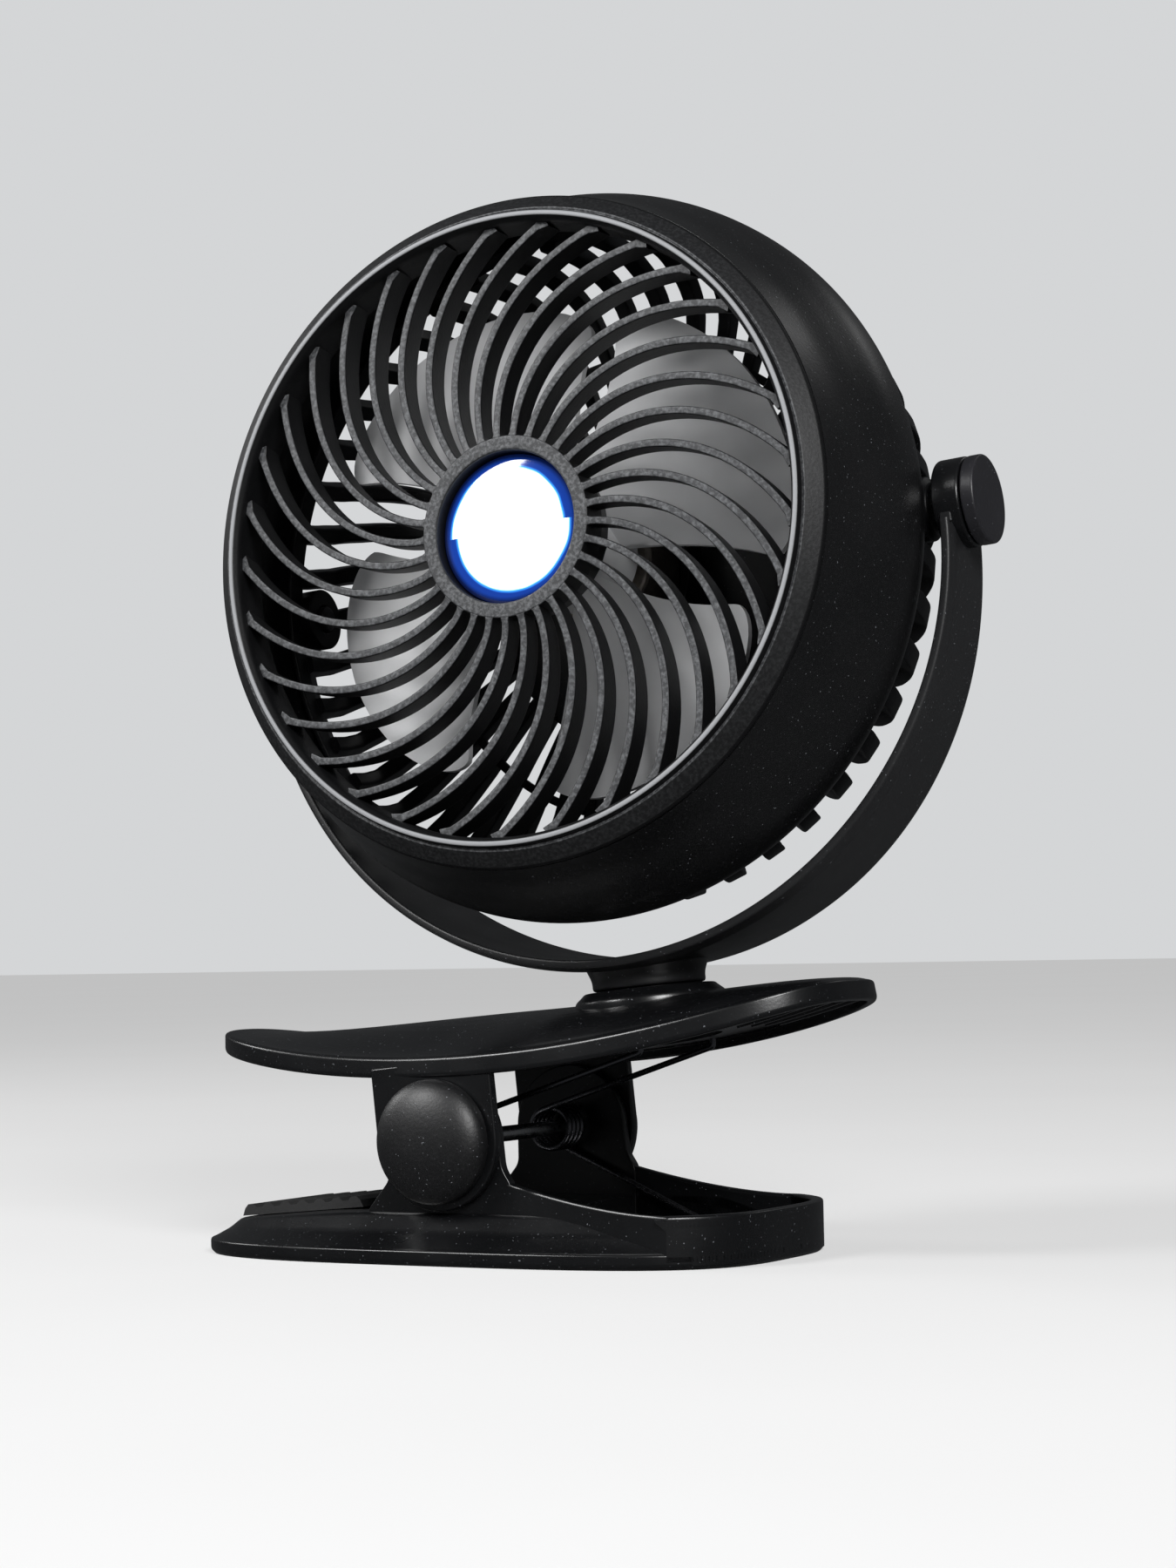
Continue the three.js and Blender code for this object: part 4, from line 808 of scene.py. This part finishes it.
def spring_path():
    """The wire's line, and how far out its lower leg lies."""
    lean = math.radians(CLIP_OPEN)
    x, z = UPPER_LEG, plate_underside(UPPER_LEG) - GAP
    upper = Vector((x * math.cos(lean) - z * math.sin(lean), 0, x * math.sin(lean) + z * math.cos(lean)))
    lower = Vector((LOWER_LEG, 0, TRAY_FLOOR + GAP - PIVOT_HEIGHT))
    tip = WIRE * 1.4
    low = leg_angle(lower + Vector((0, 0, tip)), 1)
    high = leg_angle(upper - Vector((0, 0, tip)), -1)
    turns = COIL_TURNS - (high - low) / math.tau
    count = round(turns * 56)
    coil = []
    for i in range(count + 1):
        a = low - math.tau * turns * i / count
        y = COIL_Y + turns * COIL_PITCH * (1 - i / count)
        coil.append(Vector((COIL_RADIUS * math.cos(a), y, COIL_RADIUS * math.sin(a))))
    out, inside = coil[0].y, coil[-1].y
    start = [Vector((lower.x, out, lower.z)), Vector((lower.x, out, lower.z + tip)),
             Vector((lower.x - tip, out, lower.z + tip * 1.3))]
    end = [Vector((upper.x - tip, inside, upper.z - tip * 1.3)), Vector((upper.x, inside, upper.z - tip)),
           Vector((upper.x, inside, upper.z))]
    legs = 24
    first = [start[2].lerp(coil[0], i / legs) for i in range(1, legs)]
    second = [coil[-1].lerp(end[0], i / legs) for i in range(1, legs)]
    line = [*rounded([*start, first[0]], 1.2, 5, closed=False)[:-1], *first, *coil, *second,
            *rounded([second[-1], *end], 1.2, 5, closed=False)[1:]]
    return line, out


def make_springs():
    line, out = spring_path()
    wire = shifted(tube(line, WIRE / 2, 14), 0, 0, PIVOT_HEIGHT)
    for name, shape, way in (("far", wire, 1), ("near", flip_y(wire), -1)):
        node = ["clip_spring_" + name]
        made = put("spring_" + name, [shape], FOOT, SPRING_STEEL, None, node)
        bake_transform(made)


# ---------- the upper plate ----------
def plate_outline(inset, count):
    """The plate's edge: a boat's end at the jaw, a squarer one at the handle."""
    half_x, half_y = PLATE_LENGTH / 2 - inset, PLATE_HALF_WIDTH - inset
    jaw = superellipse(half_x, half_y, PLATE_SQUARENESS, count)
    handle = superellipse(half_x - HANDLE_TRIM, half_y, HANDLE_SQUARENESS, count)
    return [(h if h.x > 0 else j) + Vector((PLATE_CENTRE_X, 0)) for j, h in zip(jaw, handle)]


def crown(x, share):
    """How far the plate's top is domed, at a share of the way from its middle to its edge."""
    t = min(max((x - PLATE_CENTRE_X) / 30 + 0.5, 0), 1)
    power = CROWN_JAW_POWER + (CROWN_HANDLE_POWER - CROWN_JAW_POWER) * t
    return CROWN_HEIGHT * (1 - share ** 2) ** power


def plate_shell():
    count = 224
    rim = {inset: plate_outline(inset, count) for inset in (0, 0.3, 1.4, WALL)}
    centre = Vector((PLATE_CENTRE_X, 0))
    under_shares = [0.08, 0.2, 0.32, 0.44, 0.56, 0.68, 0.8, 0.9]
    top_shares = [0.985, 0.96, 0.93, 0.89, 0.84, 0.78, 0.71, 0.63, 0.54, 0.44, 0.33, 0.22, 0.12, 0.04]
    columns = []
    for i in range(count):
        def at(p, rise):
            return Vector((p.x, p.y, plate_rim(p.x) + rise))
        inside, top = rim[WALL][i], rim[1.4][i]
        under = RIM_DEPTH - PLATE_THICKNESS
        column = [at(centre.lerp(inside, s), under) for s in under_shares]
        column += [
            at(inside, under), at(inside, 0), at(rim[0.3][i], 0), at(rim[0][i], 0.8),
            at(rim[0.3][i], RIM_DEPTH - 0.5), at(top, RIM_DEPTH),
        ]
        for s in top_shares:
            p = centre.lerp(top, s)
            column.append(at(p, RIM_DEPTH + crown(p.x, s)))
        columns.append(rounded(column, 0.55, 3, closed=False))
    return loft([list(ring) for ring in zip(*columns)])


def pedestal():
    """The low ring on the plate that the swivel turns in."""
    foot = plate_rim(POST_X) + RIM_DEPTH + 1
    seat = PEDESTAL_TOP - BEARING_LENGTH
    bore = SPIGOT_RADIUS + RUN
    return shifted(lathe([
        (bore, seat), (WASHER_RADIUS + 1.4, seat), (RING_RADIUS - 1, foot),
        (RING_RADIUS + RING_FLARE + 0.6, foot), (RING_RADIUS + RING_FLARE + 0.3, RING_TOP - 4),
        (RING_RADIUS + RING_FLARE, RING_TOP - 2), (RING_RADIUS + 0.3, RING_TOP - 0.8),
        (RING_RADIUS - 0.5, RING_TOP), (bore, RING_TOP),
    ], 160, 0.8), POST_X, 0, 0)


def upper_ear():
    root = plate_underside(0) + 1
    outline = [
        (-UPPER_EAR_RADIUS, root), *arc(0, 0, UPPER_EAR_RADIUS, 180, 360, 56), (UPPER_EAR_RADIUS, root),
    ]
    return side(slab(outline, EAR_OUTER - EAR_THICKNESS, EAR_OUTER, 0.5, 0.8))


def handle_ribs():
    """Grip ribs under the handle."""
    end = PLATE_CENTRE_X + PLATE_LENGTH / 2 - 9
    xs = [HANDLE_RIBS_START + (end - HANDLE_RIBS_START) * i / 12 for i in range(13)]
    made = []
    for y in (-14, -7, 0, 7, 14):
        rings = []
        for x in xs:
            z = plate_underside(x)
            section = [(y - 0.9, z - 1.3), (y + 0.9, z - 1.3), (y + 0.9, z + 1), (y - 0.9, z + 1)]
            rings.append(rounded([Vector((x, a, b)) for a, b in section], 0.5, 3))
        made.append(loft(rings))
    return made


def make_upper_jaw():
    seat = PEDESTAL_TOP - BEARING_LENGTH
    plate_top = plate_rim(POST_X) + RIM_DEPTH
    well = shifted(lathe([
        (0, 0), (RING_RADIUS, 0), (RING_RADIUS, plate_top), (RING_RADIUS - 1, seat - 1),
        (WASHER_RADIUS + 1.4, seat), (0, seat),
    ], 96), POST_X, 0, 0)
    bore = shifted(lathe(box_profile(0, SPIGOT_RADIUS + RUN, 0, PEDESTAL_TOP + 9), 64), POST_X, 0, 0)
    node = ["upper_jaw"]
    put("clip_plate", [plate_shell()], UPPER, BLACK, "upper_clip", node, 50, [well, bore])
    put("swivel_pedestal", [pedestal()], UPPER, BLACK, "upper_clip", node, 40)
    ear = upper_ear()
    put("clip_ears_and_ribs", [ear, flip_y(ear), *handle_ribs()], UPPER, BLACK, "upper_clip",
        node)


# ---------- the yoke ----------
def yoke_band():
    steps = 144
    half = YOKE_THICKNESS / 2
    rings = []
    for i in range(steps + 1):
        a = math.pi + math.pi * i / steps
        low = max(-math.sin(a), 0)
        width = YOKE_HALF_WIDTH_TOP + (YOKE_HALF_WIDTH_LOW - YOKE_HALF_WIDTH_TOP) * low ** 1.5

        def at(r, y):
            return Vector((r * math.cos(a), y, r * math.sin(a) - YOKE_DROP))
        rings.append(rounded([
            at(YOKE_RADIUS - half, -width), at(YOKE_RADIUS - half, width),
            at(YOKE_RADIUS + half - 0.9, width), at(YOKE_RADIUS + half, width * 0.78),
            at(YOKE_RADIUS + half, -width * 0.78), at(YOKE_RADIUS + half - 0.9, -width),
        ], 0.6, 3))
    return loft(rings)


def yoke_boss():
    face = BOSS_OUTER
    return along_x(lathe([
        (0, BOSS_INNER), (BOSS_RADIUS, BOSS_INNER), (BOSS_RADIUS, face), (0, face),
    ], 112, 0.7))


def yoke_arm():
    half = YOKE_THICKNESS / 2
    return block((YOKE_RADIUS - half, -YOKE_HALF_WIDTH_TOP + 0.4, -YOKE_DROP - 1),
                 (YOKE_RADIUS + half, YOKE_HALF_WIDTH_TOP - 0.4, 0), 0.5)


def yoke_post():
    post = RING_TOP + GAP - TILT_HEIGHT
    floor = -YOKE_RADIUS - YOKE_DROP
    spigot = PEDESTAL_TOP - BEARING_LENGTH - TILT_HEIGHT
    body = lathe([
        (0, spigot), (SPIGOT_RADIUS, spigot), (SPIGOT_RADIUS, post), (POST_RADIUS, post),
        (POST_RADIUS, floor - 3.2), (POST_RADIUS + 1.4, floor - 0.5), (POST_RADIUS + 1.4, floor), (0, floor),
    ], 128, 0.8)

    def follow(v):
        share = min(max((v.z - floor + 3.6) / 3, 0), 1)
        return v + Vector((0, 0, share * min(v.x ** 2 / (2 * YOKE_RADIUS), 1.4)))
    return moved(body, follow)


def make_yoke():
    boss, arm = yoke_boss(), yoke_arm()
    put("yoke_band", [yoke_band(), arm, flip_x(arm)], YOKE, YOKE_BLACK, "yoke_arm", ["yoke"])
    put("yoke_post", [yoke_post()], YOKE, YOKE_BLACK, "yoke_arm", ["yoke"])
    put("yoke_bosses", [boss, flip_x(boss)], YOKE, BLACK, "yoke_arm", ["yoke"])
    tip = DRUM_RADIUS - 9
    back = BOSS_OUTER + GAP
    knob = along_x(lathe([
        (0, tip), (KNOB_STEM_RADIUS, tip), (KNOB_STEM_RADIUS, back), (BOSS_RADIUS - 0.1, back),
        (BOSS_RADIUS - 0.1, KNOB_FACE), (0, KNOB_FACE),
    ], 112, 0.6))
    for name, shape in (("right", knob), ("left", flip_x(knob))):
        put("knob_" + name, [shape], YOKE, KNOB_BLACK, "yoke_arm", ["pivot_knob_" + name])


# ---------- the head ----------
def make_drum():
    outside = spline([
        (DRUM_RADIUS - 1.4, DRUM_BACK), (DRUM_RADIUS - 0.4, DRUM_BACK + 2), (DRUM_RADIUS, DRUM_BACK + 6),
        (DRUM_RADIUS - 0.7, DRUM_FRONT - 23.5), (DRUM_RADIUS - 3.2, DRUM_FRONT - 16),
        (DRUM_RADIUS - 6.2, DRUM_FRONT - 8), (DRUM_FRONT_RADIUS, DRUM_FRONT),
    ], 54)
    inside = [Vector((p.x - WALL, p.y)) for p in outside]
    shell = lathe([*outside, *reversed(inside)], 240)
    put("drum", [shell], HEAD, DRUM_BLACK, "head", ["drum_shell"])


def vane_front(r):
    """How far forward a vane's face stands: it rises to the hub's face."""
    from_hub = (r - HUB_OUTER) / (RIM_INNER - HUB_OUTER)
    near = max(1 - abs(r - HUB_OUTER) / 4, 0)
    return VANE_FRONT + 0.7 * (1 - from_hub) + 0.4 * near ** 2


def vane_place(r):
    t = max((r - VANE_BEND_RADIUS) / VANE_REACH, 0)
    angle = math.radians(VANE_START - VANE_SWEEP * t ** 1.42)
    return Vector((r * math.cos(angle), r * math.sin(angle), 0))


def vane_half_width(r):
    """Half a vane's width: it flares at its foot, where the slots end round, and a little at the rim."""
    half = VANE_THICKNESS / 2
    slot_start = HUB_OUTER - 0.5
    slot_half = math.pi * slot_start / VANES - half
    into = slot_start + slot_half - r
    if into > 0:
        across = math.sqrt(max(slot_half ** 2 - into ** 2, 0))
        return max(math.pi * r / VANES - across, half)
    flare = max(1 - (RIM_INNER - r) / 1.6, 0)
    return half + 0.5 * flare ** 2


def vane():
    start = HUB_OUTER - 0.5
    fine = [start + 0.12 * i for i in range(10)]
    long = [start + 1.3 + (RIM_INNER + 0.6 - start - 1.3) * i / 30 for i in range(31)]
    rings = []
    for r in [*fine, *long]:
        here = vane_place(r)
        along = (vane_place(r + 0.3) - vane_place(r - 0.3)).normalized()
        across = Vector((-along.y, along.x, 0))
        front = vane_front(r)
        back = front - VANE_DEPTH - 1.4 * (r - HUB_OUTER) / (RIM_INNER - HUB_OUTER)
        half = vane_half_width(r)
        narrow = 0.7 * VANE_THICKNESS / 2
        section = [(-narrow, back), (narrow, back), (half, front), (-half, front)]
        rings.append(rounded([here + across * a + Vector((0, 0, z)) for a, z in section], 0.42, 3))
    return loft(rings)


def make_front_grille():
    one = vane()
    vanes = [spun(one, 360 * i / VANES) for i in range(VANES)]
    put("grille_vanes", vanes, HEAD, GRILLE_BLACK, "head", ["front_grille"])
    tongue = DRUM_FRONT_RADIUS - WALL - GAP
    rim = lathe([
        (RIM_INNER, DRUM_FRONT - 5), (tongue, DRUM_FRONT - 6), (tongue, DRUM_FRONT + GAP),
        (DRUM_FRONT_RADIUS, DRUM_FRONT + GAP), (DRUM_FRONT_RADIUS - 0.2, DRUM_FRONT + 1.2),
        (BEAD_RADIUS + 1.3, BEAD_FRONT - 1.5), (BEAD_RADIUS + 0.75, BEAD_FRONT - 1.8),
        (BEAD_RADIUS + 0.5, BEAD_FRONT - 0.2), (BEAD_RADIUS - 0.6, BEAD_FRONT),
        (RIM_INNER + 0.2, BEAD_FRONT - 1.4), (RIM_INNER, BEAD_FRONT - 2.6),
    ], 264, 0.5)
    hub = lathe(box_profile(HUB_BORE, HUB_OUTER, HUB_BACK, HUB_FRONT), 198, 0.55)
    put("grille_rim", [rim], HEAD, GRILLE_BLACK, "head", ["front_grille"])
    put("grille_hub", [hub], HEAD, GRILLE_BLACK, "head", ["front_grille"])


def make_lens():
    back = LENS_FRONT - LENS_THICKNESS
    edge = HUB_BORE - GAP
    dome = [(edge * math.cos(a), LENS_FRONT - 0.4 + 1.1 * math.sin(a))
            for a in (math.radians(90 * i / 16) for i in range(16))]
    lens = lathe([(0, back), (edge, back), *dome, (0, LENS_FRONT + 0.7)], 160, 0.15)
    put("lens", [lens], HEAD, LENS, "head", ["lamp_lens"])


# ---------- impeller and motor ----------
def blade():
    """A broad twisted blade between two skins."""
    rows, columns = 40, 24
    root = HUB_RADIUS - 1.5
    depth = BLADE_FRONT - BLADE_BACK - BLADE_THICKNESS

    def skin(raised):
        made = []
        for i in range(rows + 1):
            t = i / rows
            r = root + (IMPELLER_RADIUS - root) * math.sin(t * math.pi / 2) ** 0.9
            tip = max(1 + (r - IMPELLER_RADIUS) / BLADE_TIP, 0)
            rounding = math.sqrt(max(1 - tip ** 3.2, 0.02))
            span = math.radians(BLADE_SPAN) * (0.72 + 0.28 * min(t * 1.6, 1)) * rounding
            for j in range(columns + 1):
                u = j / columns - 0.5
                angle = u * span + math.radians(4) * t
                pitch = BLADE_PITCH * (1 - 0.25 * t)
                rise = depth * (1 - BLADE_PITCH / 2 + u * rounding * pitch)
                made.append(Vector((r * math.cos(angle), r * math.sin(angle), BLADE_BACK + rise + raised)))
        return made
    front, back = skin(BLADE_THICKNESS), skin(0)
    per = columns + 1
    total = len(front)
    faces = []
    for i in range(rows):
        for j in range(columns):
            a, b = i * per + j, (i + 1) * per + j
            faces.append((a, b, b + 1, a + 1))
            faces.append((total + a, total + a + 1, total + b + 1, total + b))
    border = [j for j in range(per)] + [i * per + columns for i in range(1, rows + 1)]
    border += [rows * per + j for j in range(columns - 1, -1, -1)]
    border += [i * per for i in range(rows - 1, 0, -1)]
    for here, there in zip(border, border[1:] + border[:1]):
        faces.append((here, there, total + there, total + here))
    return front + back, faces


def make_impeller():
    nose = BLADE_FRONT - 0.5
    hub = lathe([
        (0, BLADE_BACK - 1), (HUB_RADIUS, BLADE_BACK - 1), (HUB_RADIUS, nose - 4),
        (HUB_RADIUS - 1.2, nose - 1.4), (HUB_RADIUS - 4, nose), (0, nose + 0.4),
    ], 112, 0.8)
    one = blade()
    blades = [spun(one, BLADE_REST + 360 * i / BLADES) for i in range(BLADES)]
    bore = lathe(box_profile(0, SHAFT_RADIUS + GAP, -10, nose - 4), 32)
    put("impeller_blades", blades, HEAD, GREY_PLASTIC, "rotor", ["impeller"], 50)
    put("impeller_hub", [hub], HEAD, GREY_PLASTIC, "rotor", ["impeller"], 35, [bore])


def make_motor():
    wall = 1.6
    collar = SHAFT_RADIUS + RUN + 2.4
    can = lathe([
        (collar, MOTOR_FRONT - wall), (MOTOR_RADIUS - wall, MOTOR_FRONT - wall),
        (MOTOR_RADIUS - wall, MOTOR_BACK + wall + GAP), (MOTOR_RADIUS, MOTOR_BACK + wall + GAP),
        (MOTOR_RADIUS, MOTOR_FRONT), (collar, MOTOR_FRONT),
    ], 112, 1.2)
    put("motor_body", [can], HEAD, MOTOR_STEEL, "head", ["motor_can"])


# ---------- the rear shell ----------
def rear_rib():
    depth = REAR_FACE - REAR_RIM_BACK
    corner = [(REAR_RIM_RADIUS - inset, REAR_RIM_BACK + share * depth) for inset, share in REAR_CORNER]
    bent = spline(corner, 24)
    flat = [bent[-1].lerp(Vector((REAR_SLOT_INNER - 1, REAR_FACE + 0.4)), i / 8) for i in range(1, 9)]
    line = [bent[0] + Vector((0, 0.6)), *bent[1:], *flat]
    # share of the sweep at a share of the corner's curve, as in the solid's own sections
    marks = [(0, 1), (0.4, 0.8), (0.62, 0.6), (0.8, 0.4), (1, 0.2)]
    last = len(line) - 1
    rings = []
    for i, p in enumerate(line):
        after, before = line[min(i + 1, last)], line[max(i - 1, 0)]
        along = (after - before).normalized()
        inward = Vector((along.y, -along.x))
        inner = p + inward * REAR_RIB_DEPTH
        if i < len(bent):
            t = i / (len(bent) - 1)
            k = next(n for n in range(1, len(marks)) if t <= marks[n][0])
            (t0, s0), (t1, s1) = marks[k - 1], marks[k]
            share = s0 + (s1 - s0) * (t - t0) / (t1 - t0)
        else:
            share = 0.2 * (1 - (i - len(bent) + 1) / 8)
        twist = math.radians(REAR_RIB_SWEEP * share)
        turned = Matrix.Rotation(twist, 3, "Z")
        out = min(max((p.x - REAR_SLOT_INNER) / (REAR_RIM_RADIUS - 6 - REAR_SLOT_INNER), 0), 1)
        half = REAR_RIB_WIDTH / 2 + REAR_RIB_SPREAD * out
        section = [(p, -half), (p, half), (inner, half * 0.7), (inner, -half * 0.7)]
        rings.append(rounded([turned @ Vector((q.x, across, q.y)) for q, across in section], 0.7, 3))
    return loft(rings)


def make_rear_shell():
    lip = DRUM_RADIUS - 1.4 - WALL - GAP
    seam = DRUM_BACK - GAP
    rim = lathe([
        (REAR_RIM_RADIUS, seam), (REAR_RIM_RADIUS, REAR_RIM_BACK), (lip - 1.4, REAR_RIM_BACK),
        (lip - 1.4, DRUM_BACK + 3), (lip - 0.2, DRUM_BACK + 3), (lip - 0.2, seam),
    ], 230, 0.5)
    centre = lathe(box_profile(0, REAR_SLOT_INNER, REAR_FACE, REAR_FACE + WALL), 184, 0.5)
    back = REAR_FACE + 0.8
    hoop = lathe(
        box_profile(REAR_RING_RADIUS - 1, REAR_RING_RADIUS + 1, back, back + REAR_RING_DEPTH), 184, 0.4)
    inner = MOTOR_RADIUS + GAP
    cup = lathe(box_profile(inner, inner + WALL, REAR_FACE + 1, MOTOR_BACK + 9), 96, 0.4)
    pad = REAR_RIM_RADIUS - 5.4
    bore = KNOB_STEM_RADIUS + GAP
    neck = along_x(lathe([
        (bore, pad), (TRUNNION_RADIUS, pad), (TRUNNION_RADIUS, REAR_RIM_RADIUS),
        (TRUNNION_NECK, REAR_RIM_RADIUS + 0.8), (TRUNNION_NECK, BOSS_INNER - GAP), (bore, BOSS_INNER - GAP),
    ], 96, 0.4))
    one = rear_rib()
    ribs = [spun(one, 360 * i / REAR_RIBS) for i in range(REAR_RIBS)]
    put("rear_ribs", ribs, HEAD, MATT_BLACK, "head", ["rear_shell"])
    put("rear_frame", [rim, centre, hoop, cup], HEAD, MATT_BLACK, "head", ["rear_shell"])
    put("rear_trunnions", [neck, flip_x(neck)], HEAD, MATT_BLACK, "head", ["rear_shell"])


# ---------- the pod ----------
def door_outline(inset):
    radius = 3 - inset / 2
    x = DOOR_HALF - inset - radius
    low, high = DOOR_LOW + inset + radius, DOOR_HIGH - inset - radius
    corners = [(x, low, -90), (x, high, 0), (-x, high, 90), (-x, low, 180)]
    return [p for cx, cy, start in corners for p in arc(cx, cy, radius, start, start + 90, 8)]


def make_pod():
    corner = 4
    front = REAR_FACE - GAP
    shell = lathe([
        (0, POD_BACK + WALL), *arc(POD_RADIUS - corner, POD_BACK + corner, corner - WALL, -90, 0, 6),
        (POD_RADIUS - WALL, front), (POD_RADIUS, front),
        *arc(POD_RADIUS - corner, POD_BACK + corner, corner, 0, -90, 12), (0, POD_BACK),
    ], 160)
    hole = lathe(box_profile(0, BUTTON_RADIUS + GAP, POD_BACK - 2, POD_BACK + 5), 72)
    holes = [shifted(hole, x, BUTTON_Y, 0) for x in (-BUTTON_X, BUTTON_X)]
    door_hole = slab(door_outline(0), POD_BACK - 2, POD_BACK + 5, 0.01, 0)
    port = block((-5, -POD_RADIUS - 3, PORT_Z - 2.1), (5, -POD_RADIUS + 5, PORT_Z + 2.1), 0.3)
    put("pod", [shell], HEAD, MATT_BLACK, "head", ["pod_shell"], 35,
        [*holes, door_hole, port])
    door = slab(door_outline(GAP), POD_BACK, POD_BACK + WALL, 0.4, 0)
    grips = [block((x - 0.8, -17, POD_BACK - 0.7), (x + 0.8, -9, POD_BACK + 0.5), 0.3) for x in (-4, 0, 4)]
    put("pod_door", [door, *grips], HEAD, MATT_BLACK, "head", ["battery_door"])
    top, skirt = POD_BACK - 1.6, POD_BACK + WALL + GAP
    flange = BUTTON_RADIUS + 1.1
    key = lathe([
        (0, top), (BUTTON_RADIUS - 0.8, top), (BUTTON_RADIUS, top + 0.7), (BUTTON_RADIUS, skirt),
        (flange, skirt), (flange, skirt + BUTTON_FLANGE), (0, skirt + BUTTON_FLANGE),
    ], 96, 0.25)
    for name, x in (("power", -BUTTON_X), ("lamp", BUTTON_X)):
        put(name + "_key_cap", [shifted(key, x, BUTTON_Y, 0)], HEAD, GREY_PLASTIC, name + "_key",
            [name + "_button"])


# ---------- CAD nodes that show as they are ----------
INNER = {
    "lower_grip_pad": RUBBER, "upper_grip_pad": RUBBER, "swivel_washer": STEEL, "swivel_screw": STEEL,
    "lamp_housing": MATT_BLACK, "lamp_board": BOARD, "lamp_led": LED, "lamp_reflector": MIRROR,
    "motor_cap": MATT_BLACK, "motor_bush": BRASS, "motor_core": SPRING_STEEL, "motor_shaft": STEEL,
    "battery_cell": CELL_WRAP, "control_board": BOARD, "power_switch": MATT_BLACK, "lamp_switch": MATT_BLACK,
    "charging_port": STEEL,
}


def dress_inner():
    for name, finish in INNER.items():
        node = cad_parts[name]
        finish_mesh(node.data, finish, 35)
        bevel = node.modifiers.new("edges", "BEVEL")
        bevel.width = 0.15 * MM
        bevel.segments = 2
        bevel.limit_method = "ANGLE"
        bevel.angle_limit = math.radians(40)
        even_normals(node)


# ---------- stage ----------
def make_floor():
    half_m = 6.0
    spots = [(x * half_m, y * half_m, 0) for x, y in ((-1, -1), (1, -1), (1, 1), (-1, 1))]
    mesh = bpy.data.meshes.new("floor")
    mesh.from_pydata(spots, [], [(0, 1, 2, 3)])
    made, tree, shader = blank("floor_paint")
    tone = ramp_node(tree, noise_node(tree, 3, 3), [(0.3, grey(0.3)), (0.7, grey(0.33))])
    tree.links.new(tone, shader.inputs["Base Color"])
    fill(shader, Emission_Color=(1, 1, 1, 1), Emission_Strength=0.5, Roughness=0.7)
    mesh.materials.append(made)
    floor = add_object("floor", mesh)
    floor.visible_glossy = False


def make_camera():
    azimuth, elevation, roll = (math.radians(a) for a in (CAMERA_AZIMUTH, CAMERA_ELEVATION, CAMERA_ROLL))
    back = Vector((math.sin(azimuth) * math.cos(elevation), -math.cos(azimuth) * math.cos(elevation),
                   math.sin(elevation)))
    level = Vector((math.cos(azimuth), math.sin(azimuth), 0))
    up = back.cross(level)
    right = level * math.cos(roll) + up * math.sin(roll)
    top = up * math.cos(roll) - level * math.sin(roll)
    data = bpy.data.cameras.new("camera")
    data.lens = CAMERA_LENS
    data.sensor_fit = "AUTO"
    data.sensor_width = CAMERA_SENSOR
    data.clip_start = 0.02
    data.clip_end = 30
    made = add_object("camera", data)
    made.matrix_world = Matrix.Translation(CAMERA_PLACE_M) @ Matrix((right, top, back)).transposed().to_4x4()
    bpy.context.scene.camera = made


def facing(direction):
    """A turn that points a light along a direction."""
    return Vector(direction).to_track_quat("-Z", "Y").to_matrix().to_4x4()


def add_softbox(name, place_m, side_m, watts):
    data = bpy.data.lights.new(name, "AREA")
    data.shape = "RECTANGLE"
    data.size = data.size_y = side_m
    data.energy = watts
    place = Vector(place_m)
    add_object(name, data).matrix_world = Matrix.Translation(place) @ facing(LIT_POINT_M - place)


def make_light():
    world = bpy.data.worlds.new("studio")
    world.use_nodes = True
    tree = world.node_tree
    room = tree.nodes["Background"]
    fill(room, Color=(0.93, 0.96, 1, 1), Strength=0.07)
    backdrop = tree.nodes.new("ShaderNodeBackground")
    fill(backdrop, Color=(0.66, 0.67, 0.68, 1))
    path = tree.nodes.new("ShaderNodeLightPath")
    mix = tree.nodes.new("ShaderNodeMixShader")
    tree.links.new(path.outputs["Is Camera Ray"], mix.inputs["Fac"])
    tree.links.new(room.outputs["Background"], mix.inputs[1])
    tree.links.new(backdrop.outputs["Background"], mix.inputs[2])
    tree.links.new(mix.outputs["Shader"], tree.nodes["World Output"].inputs["Surface"])
    bpy.context.scene.world = world
    add_softbox("key", (-0.75, -0.98, 1.0), 0.5, 18)
    add_softbox("front_right", (0.95, -0.95, 0.85), 0.5, 22)
    add_softbox("left", (-1.25, -0.1, 0.75), 0.4, 5)
    sun = bpy.data.lights.new("back_top", "SUN")
    sun.energy = 0.06
    sun.angle = math.radians(12)
    add_object("back_top", sun).matrix_world = facing((-0.22, -0.78, -0.56))
    view = bpy.context.scene.view_settings
    view.view_transform = "Standard"
    view.look = "None"


make_camera()
make_light()
make_floor()
make_lower_jaw()
make_pivot()
make_springs()
make_upper_jaw()
make_yoke()
make_drum()
make_front_grille()
make_lens()
make_impeller()
make_motor()
make_rear_shell()
make_pod()
dress_inner()


def corners(box):
    return [[float(x) for x in corner] for corner in box]
